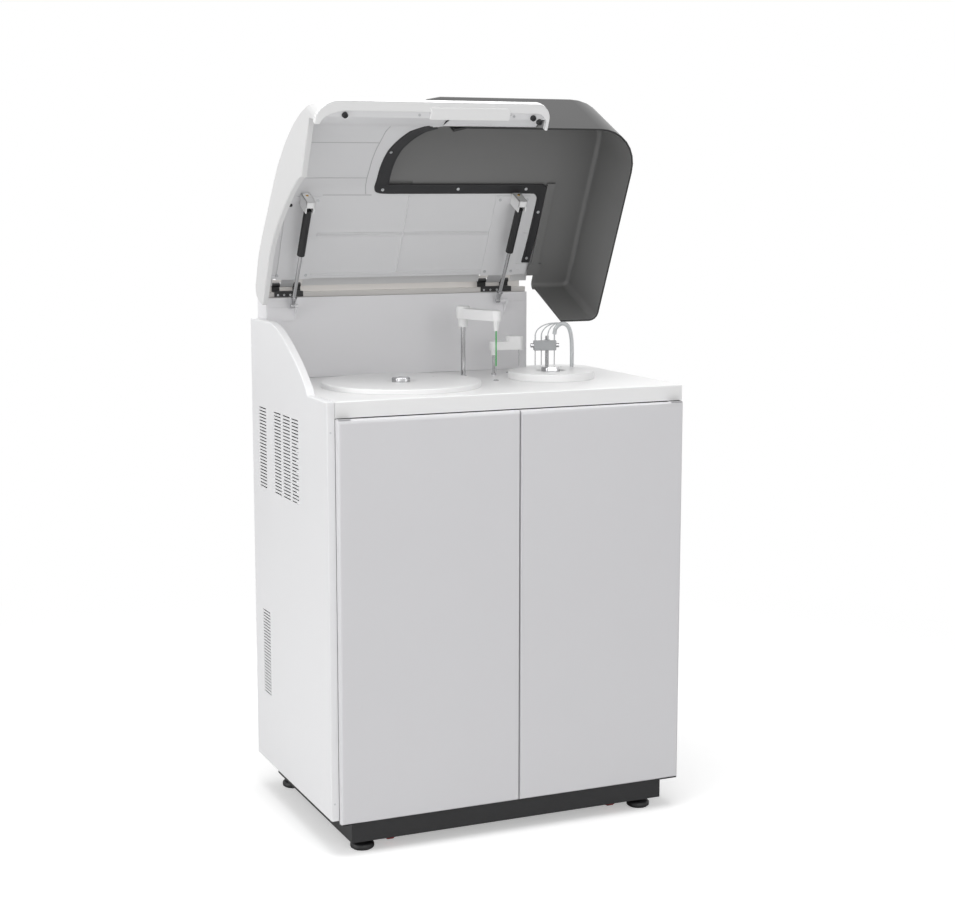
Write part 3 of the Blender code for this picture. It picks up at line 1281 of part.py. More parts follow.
PLATE_SPANS = {"left": (-0.3660, -0.2900), "right": (0.1165, 0.1990)}
PLATE_FAR_Y = -0.2330
STRUT_X = {"left": -0.328, "right": 0.162}
STRUT_TOP = (-0.229, -0.073)
STRUT_LOW_Y = 0.1830
STRUT_LOW_Z = 1.0935
TUBE_R = 0.0085
TUBE_START = 0.012
TUBE_LENGTH = 0.110
TUBE_BORE_START = 0.0165
ROD_R = 0.004
ROD_INNER_START = 0.085
EYE_R = 0.0065
EYE_HALF = 0.004
ROD_EYE_R = 0.005
ROD_CONE_R = 0.007
ROD_CONE_L = 0.016
ROD_NECK = 0.012
PIVOT_R = 0.003
EAR_T = 0.002
EAR_HALF = 0.012
EAR_TIP_R = 0.007
STUD_R = 0.004
FLANGE_X = {"left": -0.3185, "right": 0.1835}
FLANGE_T = 0.002
FLANGE_LOW_Z = 1.0603
FLANGE_NOSE_R = 0.0045
BRACKET_SPANS = {"left": (-0.3800, -0.3165), "right": (0.1835, 0.2400)}
BRACKET_TOP_Z = 1.0900
RAIL_BAR_FRONT = 0.2090
RAIL_BAR_REAR = 0.2220
RAIL_BAR_TOP = 1.1225
RAIL_BASE_T = 0.002
RAIL_REAR = 0.2436
RAIL_UP_T = 0.002
RAIL_UP_TOP = 1.1480
HANDLE_LEFT = -0.1617
HANDLE_RIGHT = 0.0189


def skin_z(y):
    """Give the height of the outer skin at a depth, along straight runs between its points."""
    for (ay, az), (by, bz) in zip(SKIN_LINE, SKIN_LINE[1:]):
        if by <= y <= ay:
            return az + (bz - az) * (y - ay) / (by - ay)
    return SKIN_LINE[-1][1]


def offset_open(points, distance):
    """Shift an open line of plane points sideways by a distance, mitred at its corners."""
    shifted = []
    for index, point in enumerate(points):
        before = Vector(points[max(index - 1, 0)])
        after = Vector(points[min(index + 1, len(points) - 1)])
        here = Vector(point)
        first = (here - before).normalized() if index > 0 else (after - here).normalized()
        second = (after - here).normalized() if index < len(points) - 1 else first
        normal = Vector((-(first.y + second.y), first.x + second.x)).normalized()
        side = Vector((-first.y, first.x))
        shifted.append(tuple(here + normal * distance / max(normal.dot(side), 1 / 2)))
    return shifted


def edge_curve():
    """Give the plan curve where the white shell ends and the smoked hood begins."""
    return bezier(*EDGE_CURVE, EDGE_STEPS)


def hood_region(margin=0.0):
    """Outline in plan the region that belongs to the hood, widened by the given margin."""
    curve = [(x - margin, y) for x, y in edge_curve()]
    curve[0] = (curve[0][0], EDGE_Y + margin)
    front = SKIN_LINE[-1][0] * 2
    far = SHELL_RIGHT_X * 2
    return curve + [(curve[-1][0], front), (far, front), (far, EDGE_Y + margin)]


def make_shell():
    """Mould the lid shell: the curved skin, both side walls and the thick front lip."""
    line = [(SKIN_REAR_Y, SKIN_LINE[0][1])]
    line += [point for point in SKIN_LINE[1:] if point[0] > LIP_TOP[0]]
    line.append((LIP_TOP[0] - OVERRUN, skin_z(LIP_TOP[0] - OVERRUN)))
    outer = offset_open(line, JOIN_STEP)
    inner = offset_open(line, SHELL_T)
    slab = prism(outer + list(reversed(inner)), LID_LEFT + BULLNOSE, SHELL_RIGHT_X, "x")
    beyond = prism(hood_region(), LIP_LOW_Z * 2, -LIP_LOW_Z)
    skin = combine(slab, cuts=[beyond])
    wing = [(y - HINGE_Y, z - HINGE_Z + RIM_CLEARANCE) for y, z in wing_curve()]
    wing[-1] = (wing[-1][0], RIM_Z)
    low = DECK_TOP - HINGE_Z + DECK_CLEARANCE
    wall = list(WALL_REAR) + [(WALL_REAR[-1][0] - OVERRUN, RIM_Z)] + list(reversed(wing))
    wall = [point for point in wall if point[1] > low]
    wall += [(wing[0][0], low), (LIP_BACK_Y, low), (LIP_LOW_Y, LIP_LOW_Z)]
    wall += list(reversed(SKIN_LINE[1:]))
    left = prism(wall, LID_LEFT, LID_WALL_IN, "x")
    round_edges(left, BULLNOSE, 2, sharp_at(0, LID_LEFT))
    under = SHELL_T / 2
    start_y = SKIN_REAR_Y * 6
    edge_in = EDGE_Y + GAP
    cheek = [(start_y, skin_z(start_y) - under), LINER_REAR[1], LINER_LOW[0], (edge_in, LINER_LOW[2][1]),
             (edge_in, skin_z(EDGE_Y) - under)]
    cheek += [(y, z - under) for y, z in reversed(SKIN_LINE) if EDGE_Y < y < start_y]
    right = prism(cheek, LID_RIGHT_IN, SHELL_RIGHT_X - GAP, "x")
    lip_outline = list(LIP_INNER) + [LIP_TOP] + [p for p in SKIN_LINE if p[0] < LIP_TOP[0]]
    lip_outline = [(y + 2 * JOIN_STEP, z - 2 * JOIN_STEP) for y, z in lip_outline[:-1]]
    lip_outline.append((SKIN_LINE[-1][0] + 2 * JOIN_STEP, LIP_LOW_Z - 2 * JOIN_STEP))
    lip = prism(lip_outline, LID_LEFT + BULLNOSE, LIP_RIGHT, "x")
    front = box((LIP_CUT_X, HOOD_FRONT - 2 * GAP, LIP_LOW_Z * 2), (LIP_RIGHT * 2, -LIP_LOW_Z, -LIP_LOW_Z))
    lip = combine(lip, cuts=[front])
    notches = []
    for low_x, high_x in LEAF_SPANS.values():
        notches.append(box(
            (low_x - NOTCH_CLEARANCE, LINER_REAR[1][0], LIP_LOW_Z),
            (high_x + NOTCH_CLEARANCE, -LIP_LOW_Z, -LIP_LOW_Z)))
    shell = combine(skin, cuts=notches)
    shell = combine(shell, joins=[left, right, lip])
    return finish(shell, "lid_shell", MOULD_WHITE)


def make_liner():
    """Mould the grey liner with its ribs, under the skin."""
    low = list(LINER_LOW)
    upper = offset_open(low, -LINER_T)
    upper[0] = (LINER_REAR[0][0] - LINER_T, upper[0][1])
    rear = [LINER_REAR[0], LINER_REAR[1]]
    back = [(LINER_REAR[1][0] - LINER_T, LINER_REAR[1][1]), (LINER_REAR[0][0] - LINER_T, LINER_REAR[0][1])]
    outline = list(reversed(low)) + rear + back + upper
    left = LID_WALL_IN + GAP
    right = LID_RIGHT_IN - GAP
    slab = prism(outline, left, right, "x")
    beyond = prism(hood_region(GAP), LIP_LOW_Z * 2, -LIP_LOW_Z)
    liner = combine(slab, cuts=[beyond])
    ribs = []
    for y in RIB_PLACES_Y:
        z = LINER_LOW[0][1] + (LINER_LOW[1][1] - LINER_LOW[0][1]) * (y - LINER_LOW[0][0]) / (
            LINER_LOW[1][0] - LINER_LOW[0][0])
        ribs.append((left + OVERRUN, GASKET_LEG_LEFT - NOTCH_CLEARANCE, y, z))
    joins = [box((a, y - RIB_HALF, z - RIB_DROP), (b, y + RIB_HALF, z + LINER_T / 2))
             for a, b, y, z in clear_of_plates(ribs)]
    return finish(combine(liner, joins=joins), "lid_liner", LINER_GREY)


def clear_of_plates(ribs):
    """Split each rib where the strut plates lie against the liner."""
    split = []
    for low, high, y, z in ribs:
        edges = [low]
        for name in ("left", "right"):
            edges += [PLATE_SPANS[name][0] - NOTCH_CLEARANCE, PLATE_SPANS[name][1] + NOTCH_CLEARANCE]
        edges.append(high)
        split += [(a, b, y, z) for a, b in zip(edges[0::2], edges[1::2]) if b > a]
    return split


def hood_plan(inset):
    """Outline the hood in plan: L-shaped, with a wide round corner at its front right."""
    right = HOOD_RIGHT - inset
    front = HOOD_FRONT + inset
    rear = -inset
    corner = HOOD_CORNER_R - inset
    small = HOOD_REAR_R - inset
    curve = [(x + HOOD_GAP + inset, y) for x, y in edge_curve()]
    wide = arc((right - corner, front + corner), corner, -QUARTER_TURN, 0, 8)
    tight = arc((right - small, rear - small), small, 0, QUARTER_TURN, 4)
    top = EDGE_Y - HOOD_GAP
    left = HOOD_LEFT_REAR
    if inset:
        top = EDGE_Y + HOOD_EDGE_R
        left = HOOD_LEFT_REAR - HOOD_EDGE_R
    curve = [point for point in curve if point[1] < EDGE_Y - HOOD_GAP * 2 and point[1] > front + inset]
    start = (curve[0][0], top)
    return [start] + curve + [(HOOD_FRONT_LEFT_X, front)] + wide + tight + [(left, rear), (left, top)]


def make_hood():
    """Mould the smoked hood: an L-shaped cover with round top edges, open below and to the lid."""
    hood = prism(hood_plan(0), HOOD_LOW, HOOD_TOP)
    inner_edge = EDGE_Y - 2 * HOOD_GAP

    def outer_top(a, b):
        middle = (a + b) / 2
        along_lid = middle.y > inner_edge and middle.x < HOOD_LEFT_REAR + HOOD_GAP
        return sharp_at(2, HOOD_TOP)(a, b) and not along_lid

    round_edges(hood, HOOD_EDGE_R, 3, outer_top)
    hollow = prism(hood_plan(HOOD_WALL), HOOD_LOW - OVERRUN, HOOD_TOP - HOOD_WALL)

    def hollow_top(a, b):
        middle = (a + b) / 2
        along_lid = middle.y > inner_edge and middle.x < HOOD_LEFT_REAR + HOOD_GAP
        return sharp_at(2, HOOD_TOP - HOOD_WALL)(a, b) and not along_lid

    round_edges(hollow, HOOD_EDGE_R - HOOD_WALL, 3, hollow_top)
    gate = box((HOOD_LEFT_REAR - OVERRUN, -HOOD_REAR_R / 2, HOOD_LOW - OVERRUN),
               (HOOD_REAR_WALL_X, HOOD_REAR_R, HOOD_TOP - HOOD_EDGE_R))
    under = [(EDGE_Y + HOOD_EDGE_R, skin_z(EDGE_Y) + 2 * GAP)]
    under += [(y, z + 2 * GAP) for y, z in SKIN_LINE if y < EDGE_Y]
    under += [(SKIN_LINE[-1][0], HOOD_LOW * 2), (EDGE_Y + HOOD_EDGE_R, HOOD_LOW * 2)]
    below_skin = prism(under, EDGE_CURVE[1][0] * 2, EDGE_CURVE[3][0] + HOOD_WALL / 2, "x")
    return finish(combine(hood, cuts=[hollow, gate, below_skin]), "smoked_hood", SMOKED)


def make_gasket():
    """Lay the black seal on the liner: along the curve, the inner row and down the right leg."""
    upper = offset_open(list(LINER_LOW), GAP)
    lower = offset_open(list(LINER_LOW), GAP + GASKET_T)
    slab = prism(upper + list(reversed(lower)), LID_WALL_IN, LID_RIGHT_IN, "x")
    row_low = EDGE_Y + 2 * HOOD_GAP
    curve = [(x - 2 * HOOD_GAP, y) for x, y in edge_curve()]
    bend = offset_open([(curve[0][0], GASKET_ROW_Y - GAP)] + curve, -GASKET_W)
    strip = prism([(curve[0][0], GASKET_ROW_Y - GAP)] + curve + list(reversed(bend)),
                  LIP_LOW_Z * 2, -LIP_LOW_Z)
    row = box((curve[0][0] - GASKET_W / 2, row_low, LIP_LOW_Z), (GASKET_LEG_RIGHT, GASKET_ROW_Y, 0))
    leg = box((GASKET_LEG_LEFT, row_low + GAP, LIP_LOW_Z),
              (GASKET_LEG_RIGHT + JOIN_STEP, GASKET_END_Y, 0))
    band = combine(strip, joins=[row, leg])
    return finish(combine(slab, keeps=[band]), "hood_gasket", SEAL_BLACK)


def liner_z(y):
    """Give the height of the liner's lower face on its flat rear part."""
    (ay, az), (by, bz) = LINER_LOW[:2]
    return az + (bz - az) * (y - ay) / (by - ay)


def make_lid_bracket(side):
    """Build a lid bracket: strut plate, pivot ear with its pin, hinge leaf and knuckle in one."""
    low_x, high_x = PLATE_SPANS[side]
    near_y = LINER_LOW[0][0]
    near_z = liner_z(near_y) - GAP
    far = PLATE_FAR_Y
    far_z = liner_z(far) - GAP
    edge_y = near_y + GAP + NECK_T / 2
    plate = prism([(edge_y, near_z), (edge_y, near_z - LEAF_T), (far, far_z - LEAF_T), (far, far_z)],
                  low_x, high_x, "x")
    (ay, az), (by, bz) = LINER_REAR
    neck_line = [(near_y, near_z), (ay, az), (by, bz), (0, -HINGE_PIN_R)]
    inner = offset_open(neck_line, -GAP)
    outer = offset_open(neck_line, -GAP - NECK_T)
    inner[-1] = (0, inner[-1][1])
    outer[-1] = (0, outer[-1][1])
    inner[0] = (near_y + GAP, near_z - LEAF_T / 2)
    outer[0] = (near_y + GAP + NECK_T, near_z - LEAF_T / 2)
    leaf_low, leaf_high = LEAF_SPANS[side]
    share = (leaf_high - leaf_low) * KNUCKLE_SHARE
    neck_low = leaf_low + share + GAP
    neck_high = leaf_high - share - GAP
    neck = prism(inner + list(reversed(outer)), neck_low, neck_high, "x")
    middle = (neck_low + neck_high) / 2
    barrel = rod((middle, 0, 0), BARREL_R, neck_high - neck_low, "x", 12)
    bore = rod((middle, 0, 0), HINGE_PIN_R + GAP, 2 * (leaf_high - leaf_low), "x", 12)
    strut_x = STRUT_X[side]
    ear_x = strut_x - EYE_HALF - 2 * GAP - EAR_T
    top_y, top_z = STRUT_TOP
    root_z = liner_z(top_y) - GAP - LEAF_T / 2
    nose = arc((top_y, top_z), EAR_TIP_R, -2 * QUARTER_TURN, 0, 8)
    ear_outline = nose + [(top_y + EAR_HALF, root_z), (far + GAP, root_z)]
    ear = prism(ear_outline, ear_x, ear_x + EAR_T, "x")
    pin_low = ear_x + EAR_T / 2
    pin_high = strut_x + EYE_HALF + 2 * GAP
    pin = rod(((pin_low + pin_high) / 2, top_y, top_z), PIVOT_R, pin_high - pin_low, "x", 12)
    bracket = combine(plate, joins=[neck, barrel, ear, pin], cuts=[bore])
    return finish(bracket, "lid_bracket_" + side, STEEL)


def strut_geometry():
    """Give the strut's length at rest and its turn in the lid's own frame."""
    turn = Matrix.Rotation(LID_OPEN_ANGLE, 3, "X")
    low = turn @ Vector((0, STRUT_LOW_Y - HINGE_Y, STRUT_LOW_Z - HINGE_Z))
    run = low - Vector((0, *STRUT_TOP))
    return run.length, math.atan2(run.y, -run.z)


def make_strut(side, hinge):
    """Build a gas strut: its black cylinder on the lid's pin and the rod that slides in it."""
    x = STRUT_X[side]
    length, turn = strut_geometry()
    end = -TUBE_START - TUBE_LENGTH
    barrel = upright(0, 0, end, -TUBE_START, TUBE_R)
    neck = upright(0, 0, -TUBE_START - GAP, -EYE_R / 2, EYE_HALF - GAP, 12)
    eye = rod((0, 0, 0), EYE_R, 2 * EYE_HALF, "x", 16)
    hole = rod((0, 0, 0), PIVOT_R + GAP, TUBE_R * 2, "x", 12)
    bore = upright(0, 0, end - OVERRUN, -TUBE_BORE_START, ROD_R + GAP, 12)
    cylinder = combine(barrel, joins=[neck, eye], cuts=[bore, hole])
    finish(cylinder, "strut_tube_" + side, FRAME_BLACK)
    cylinder.parent = hinge
    cylinder.location = (x, *STRUT_TOP)
    cylinder.rotation_euler = (turn, 0, 0)
    shaft = upright(0, 0, -length, -ROD_INNER_START, ROD_R, 12)
    cone_low = -length + ROD_NECK / 2
    cone = upright(0, 0, cone_low, cone_low + ROD_CONE_L, ROD_EYE_R, 12, ROD_CONE_R)
    foot = rod((0, 0, -length), ROD_EYE_R, 2 * EYE_HALF, "x", 12)
    piston = combine(shaft, joins=[cone, foot])
    finish(piston, "strut_rod_" + side, CHROME)
    piston.parent = cylinder


def make_strut_bracket(side):
    """Bend the strut bracket on the well wall, with the stud that faces the rod's end."""
    low_x, high_x = BRACKET_SPANS[side]
    back = WELL_FRONT_Y - GAP
    plate = box((low_x, back - LEAF_T, FLANGE_LOW_Z), (high_x, back, BRACKET_TOP_Z))
    x = FLANGE_X[side]
    nose = arc((STRUT_LOW_Y, STRUT_LOW_Z), FLANGE_NOSE_R, QUARTER_TURN, 3 * QUARTER_TURN, 6)
    outline = nose + [(back - LEAF_T / 2, FLANGE_LOW_Z), (back - LEAF_T / 2, BRACKET_TOP_Z)]
    flange = prism(list(reversed(outline)), x, x + FLANGE_T, "x")
    strut_side = STRUT_X[side] + EYE_HALF + 2 * GAP
    stud = rod(((strut_side + x + FLANGE_T / 2) / 2, STRUT_LOW_Y, STRUT_LOW_Z), STUD_R,
               x + FLANGE_T / 2 - strut_side, "x", 16)
    return finish(combine(plate, joins=[flange, stud]), "strut_bracket_" + side, STEEL)


def make_hinge_leaf(side):
    """Build a fixed hinge leaf: the plate on the rail, its two knuckles and the pin."""
    low_x, high_x = LEAF_SPANS[side]
    share = (high_x - low_x) * KNUCKLE_SHARE
    front = RAIL_BAR_FRONT - GAP
    top = RAIL_BAR_TOP + GAP
    drop = RAIL_BAR_TOP - BARREL_R * 2
    outline = [
        (front - LEAF_T, drop), (front, drop), (front, top), (HINGE_Y + LEAF_T, top),
        (HINGE_Y + LEAF_T, HINGE_Z), (HINGE_Y - LEAF_T / 2, HINGE_Z), (HINGE_Y - LEAF_T / 2, top + LEAF_T),
        (front - LEAF_T, top + LEAF_T)]
    leaf = prism(outline, low_x, high_x, "x")
    clear = box((low_x + share, HINGE_Y - BARREL_R * 3, top + LEAF_T),
                (high_x - share, HINGE_Y + BARREL_R * 3, HINGE_Z + BARREL_R))
    leaf = combine(leaf, cuts=[clear])
    joins = [rod((low_x + share / 2, HINGE_Y, HINGE_Z), BARREL_R, share, "x", 12),
             rod((high_x - share / 2, HINGE_Y, HINGE_Z), BARREL_R, share, "x", 12),
             rod(((low_x + high_x) / 2, HINGE_Y, HINGE_Z), HINGE_PIN_R, high_x - low_x, "x", 12)]
    return finish(combine(leaf, joins=joins), "hinge_leaf_" + side, FRAME_BLACK)


def make_rail():
    """Fold the hinge rail on top of the well wall, with its front bar and rear upstand."""
    low = WELL_TOP + GAP
    base = low + RAIL_BASE_T
    outline = [
        (RAIL_BAR_FRONT, low), (RAIL_REAR, low), (RAIL_REAR, RAIL_UP_TOP),
        (RAIL_REAR - RAIL_UP_T, RAIL_UP_TOP), (RAIL_REAR - RAIL_UP_T, base), (RAIL_BAR_REAR, base),
        (RAIL_BAR_REAR, RAIL_BAR_TOP), (RAIL_BAR_FRONT, RAIL_BAR_TOP)]
    rail = prism(outline, -PANEL_IN + GAP, WELL_RIGHT_X, "x")
    return finish(rail, "hinge_rail", PAINT_BEIGE, smooth=False)


HANDLE_DEPTH = 0.009
HANDLE_EDGE = 0.0015
HANDLE_START_SHARE = 0.20
HANDLE_END_SHARE = 0.85


def make_handle():
    """Build the grip strip that lies along the inner face of the front lip."""
    (ay, az), (by, bz) = LIP_INNER[:2]
    face = [(ay + (by - ay) * share, az + (bz - az) * share) for share in (HANDLE_START_SHARE, HANDLE_END_SHARE)]
    near = offset_open(face, -GAP)
    far = offset_open(face, -GAP - HANDLE_DEPTH)
    grip = prism(near + list(reversed(far)), HANDLE_LEFT, HANDLE_RIGHT, "x")
    round_edges(grip, HANDLE_EDGE, 2, lambda a, b: True)
    return finish(grip, "lid_handle", PAINT_GREY)


def make_lid():
    """Build the lid in closed position and turn it open about its hinge."""
    hinge = bpy.data.objects.new("lid_hinge_axis", None)
    bpy.data.collections[PARTS_NAME].objects.link(hinge)
    for piece in (make_shell(), make_liner(), make_hood(), make_gasket(), make_handle(),
                  make_lid_bracket("left"), make_lid_bracket("right")):
        piece.parent = hinge
    for side in ("left", "right"):
        make_strut(side, hinge)
        make_hinge_leaf(side)
        make_strut_bracket(side)
    hinge.location = (0, HINGE_Y, HINGE_Z)
    hinge.rotation_euler = (-LID_OPEN_ANGLE, 0, 0)


def make_carousels():
    """Build both carousels with their tubs, motors, covers and knobs."""
    x, y = REAGENT_X, REAGENT_Y
    make_tub("reagent_tub", x, y, REAGENT_HOLE_R, TUB_WALL, TUB_BOTTOM, TUB_FLANGE_R, TUB_FLANGE_T, 40)
    make_motor("reagent_motor", x, y, TUB_BOTTOM, TUB_WALL)
    make_turntable()
    toward = math.atan2(SAMPLE_POST_Y - y, SAMPLE_POST_X - x)
    hole = polar(x, y, REAGENT_RING_R, toward)
    cover = make_cover("reagent_cover", x, y, REAGENT_COVER_R, REAGENT_COVER_H, [hole])
    make_knob("reagent_knob", x, y, REAGENT_COVER_H, REAGENT_KNOB_R, cover)
    x, y = REACTION_X, REACTION_Y
    make_tub("reaction_bath", x, y, REACTION_HOLE_R, BATH_WALL, BATH_BOTTOM, BATH_FLANGE_R, TUB_FLANGE_T, 32)
    make_motor("reaction_motor", x, y, BATH_BOTTOM, BATH_WALL)
    make_cuvette_wheel()
    toward = math.atan2(SAMPLE_POST_Y - y, SAMPLE_POST_X - x)
    pitch = FULL_TURN / CUVETTES
    holes = [polar(x, y, REACTION_RING_R, toward), polar(x, y, REACTION_RING_R, toward - 2 * pitch)]
    holes += probe_places()
    cover = make_cover("reaction_cover", x, y, REACTION_COVER_R, REACTION_COVER_H, holes)
    make_knob("reaction_knob", x, y, REACTION_COVER_H, REACTION_KNOB_R, cover)


def main():
    """Build the whole analyzer."""
    clear_scene()
    collection(PARTS_NAME)
    collection(CUTTERS_NAME, hidden=True)
    make_plinth()
    for name, (x, y) in FOOT_PLACES.items():
        make_foot(name, x, y)
    for place, (x, y, side) in CASTER_PLACES.items():
        make_caster(place, x, y, side)
    make_frame()
    make_drive_frame()
    make_power_supply()
    make_syringes()
    make_left_panel()
    make_right_panel()
    make_rear_panel()
    make_deck()
    make_cups()
    make_well_wall()
    make_rail()
    make_door("door_left", DOOR_LEFT, SEAM_X - SEAM_GAP / 2, PIVOT_LEFT_X)
    make_door("door_right", SEAM_X + SEAM_GAP / 2, DOOR_RIGHT, PIVOT_RIGHT_X)
    make_carousels()
    post = make_post("sample_post", SAMPLE_POST_X, SAMPLE_POST_Y, SAMPLE_POST_R, SAMPLE_POST_TOP)
    make_sample_arm(post)
    post = make_post("mixer_post", MIXER_POST_X, MIXER_POST_Y, MIXER_POST_R, MIXER_POST_TOP)
    make_mixer_arm(post)
    make_wash_station()
    make_hose()
    make_lid()


main()
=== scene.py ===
# %% [markdown]
# # A floor-standing chemistry analyzer
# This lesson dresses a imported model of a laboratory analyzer: a sheet-metal cabinet with two doors,
# a working deck with two carousels and three arms, and a lid with a smoked hood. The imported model
# already has every solid at its real size and place. The lesson gives them rolled edges, real
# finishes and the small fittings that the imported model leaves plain.

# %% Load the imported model
import json
import math

import bmesh
import bpy
from mathutils import Matrix, Vector

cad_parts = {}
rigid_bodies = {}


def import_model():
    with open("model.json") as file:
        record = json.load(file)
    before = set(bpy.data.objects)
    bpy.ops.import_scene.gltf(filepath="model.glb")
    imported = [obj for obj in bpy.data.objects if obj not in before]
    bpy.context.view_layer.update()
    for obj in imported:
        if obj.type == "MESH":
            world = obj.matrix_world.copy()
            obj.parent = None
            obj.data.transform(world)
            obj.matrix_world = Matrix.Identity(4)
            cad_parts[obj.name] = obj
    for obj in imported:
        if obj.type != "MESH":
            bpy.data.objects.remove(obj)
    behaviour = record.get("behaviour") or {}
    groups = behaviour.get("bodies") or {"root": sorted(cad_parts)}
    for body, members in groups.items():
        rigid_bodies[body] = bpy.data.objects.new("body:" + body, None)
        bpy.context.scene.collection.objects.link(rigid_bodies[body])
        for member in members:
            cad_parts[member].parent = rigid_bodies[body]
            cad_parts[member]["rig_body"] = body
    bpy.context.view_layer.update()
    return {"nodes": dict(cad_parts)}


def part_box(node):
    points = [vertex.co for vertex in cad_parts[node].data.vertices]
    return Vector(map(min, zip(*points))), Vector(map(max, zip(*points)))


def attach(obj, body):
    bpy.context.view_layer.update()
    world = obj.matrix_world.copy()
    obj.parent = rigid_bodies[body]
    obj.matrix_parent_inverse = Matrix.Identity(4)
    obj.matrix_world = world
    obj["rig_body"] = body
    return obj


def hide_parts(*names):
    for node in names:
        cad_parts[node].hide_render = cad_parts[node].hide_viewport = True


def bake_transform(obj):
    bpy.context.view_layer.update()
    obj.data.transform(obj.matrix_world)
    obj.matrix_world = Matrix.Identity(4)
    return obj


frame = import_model()
MM = 0.001

# %% [markdown]
# ## Camera
# The camera stands where a calibration of the room's vanishing lines puts it: in front of the
# cabinet, to its left, a little above the deck. A camera turned by Euler angles keeps its horizon
# level as long as the middle angle is zero.

# %% Camera at the viewing angle
CAMERA_PLACE = (-1.5528, -3.6106, 1.3556)
CAMERA_TURN = (math.radians(81.529), 0, math.radians(-23.685))
CAMERA_LENS = 68.64
CAMERA_SENSOR = 36


def put(name, data):
    """Put an object with some data into the scene."""
    made = bpy.data.objects.new(name, data)
    bpy.context.scene.collection.objects.link(made)
    return made


camera_data = bpy.data.cameras.new("camera")
camera_data.lens = CAMERA_LENS
camera_data.sensor_width = CAMERA_SENSOR
camera_data.sensor_fit = "HORIZONTAL"
camera = put("camera", camera_data)
camera.location = CAMERA_PLACE
camera.rotation_euler = CAMERA_TURN
bpy.context.scene.camera = camera
bpy.context.scene.view_settings.view_transform = "Standard"
print("camera", [round(v, 3) for v in CAMERA_PLACE])

# %% [markdown]
# ## Studio
# A white studio is a large pale floor, an even sky and soft lamps. The sky shows white to the
# camera, and to mirrors such as chrome, but lights the object at a plainer level. The floor adds a
# little of its own light for the camera alone, so that it reads white and still takes the shadow,
# and further out it fades to plain white, so that no horizon shows behind the cabinet.

# %% World and floor
WHITE = (1, 1, 1, 1)
SKY_LIGHT = 0.40
SKY_SEEN = 1.0
FLOOR_COLOUR = (0.80, 0.80, 0.80, 1)
FLOOR_GLOW = 0.40
FLOOR_HALF = 12.0
FLOOR_FADE = (1.1, 2.4)


def node_of(tree, kind, place=(0, 0), values=None, **settings):
    """Add a node to a tree, with its settings and the plain values of its inputs."""
    node = tree.nodes.new(kind)
    node.location = place
    for name, value in settings.items():
        setattr(node, name, value)
    for name, value in (values or {}).items():
        node.inputs[name].default_value = value
    return node


def wire(tree, *links):
    """Link sockets; each link is a node, its output, the next node and its input."""
    for source, given, target, taken in links:
        tree.links.new(source.outputs[given], target.inputs[taken])


def make_world():
    """Light the studio evenly, and show white behind the object."""
    world = bpy.data.worlds.new("studio")
    world.use_nodes = True
    tree = world.node_tree
    tree.nodes.clear()
    rays = node_of(tree, "ShaderNodeLightPath", (-600, 200))
    seen = node_of(tree, "ShaderNodeMath", (-400, 200), operation="MAXIMUM")
    through = node_of(tree, "ShaderNodeMath", (-200, 200), operation="MAXIMUM")
    lit = node_of(tree, "ShaderNodeBackground", (-200, 0), {"Color": WHITE, "Strength": SKY_LIGHT})
    white = node_of(tree, "ShaderNodeBackground", (-200, -150), {"Color": WHITE, "Strength": SKY_SEEN})
    mix = node_of(tree, "ShaderNodeMixShader")
    out = node_of(tree, "ShaderNodeOutputWorld", (200, 0))
    wire(tree, (rays, "Is Camera Ray", seen, 0), (rays, "Is Glossy Ray", seen, 1),
         (seen, 0, through, 0), (rays, "Is Transmission Ray", through, 1),
         (through, 0, mix, "Fac"), (lit, 0, mix, 1), (white, 0, mix, 2), (mix, 0, out, "Surface"))
    bpy.context.scene.world = world


def make_floor():
    """Lay a wide pale floor that glows a little for the camera."""
    mesh = bpy.data.meshes.new("floor")
    h = FLOOR_HALF
    mesh.from_pydata([(-h, -h, 0), (h, -h, 0), (h, h, 0), (-h, h, 0)], [], [(0, 1, 2, 3)])
    floor = put("floor", mesh)
    material = bpy.data.materials.new("floor")
    material.use_nodes = True
    tree = material.node_tree
    tree.nodes.clear()
    rays = node_of(tree, "ShaderNodeLightPath", (-600, 200))
    glow = node_of(tree, "ShaderNodeMath", (-400, 100), {1: FLOOR_GLOW}, operation="MULTIPLY")
    matte = node_of(tree, "ShaderNodeBsdfDiffuse", (-200, 0), {"Color": FLOOR_COLOUR})
    light = node_of(tree, "ShaderNodeEmission", (-200, -150))
    both = node_of(tree, "ShaderNodeAddShader")
    place = node_of(tree, "ShaderNodeTexCoord", (-900, -300))
    reach = node_of(tree, "ShaderNodeVectorMath", (-700, -300), operation="LENGTH")
    fade = node_of(tree, "ShaderNodeMapRange", (-500, -300),
                   {"From Min": FLOOR_FADE[0], "From Max": FLOOR_FADE[1]},
                   interpolation_type="SMOOTHSTEP")
    far = node_of(tree, "ShaderNodeMath", (-300, -300), operation="MULTIPLY")
    white = node_of(tree, "ShaderNodeEmission", (0, -200))
    mix = node_of(tree, "ShaderNodeMixShader", (200, 0))
    out = node_of(tree, "ShaderNodeOutputMaterial", (400, 0))
    wire(tree, (rays, "Is Camera Ray", glow, 0), (glow, 0, light, "Strength"),
         (matte, 0, both, 0), (light, 0, both, 1),
         (place, "Object", reach, 0), (reach, "Value", fade, "Value"),
         (fade, "Result", far, 0), (rays, "Is Camera Ray", far, 1),
         (far, 0, mix, "Fac"), (both, 0, mix, 1), (white, 0, mix, 2), (mix, 0, out, "Surface"))
    mesh.materials.append(material)


make_world()
make_floor()
print("studio ready")

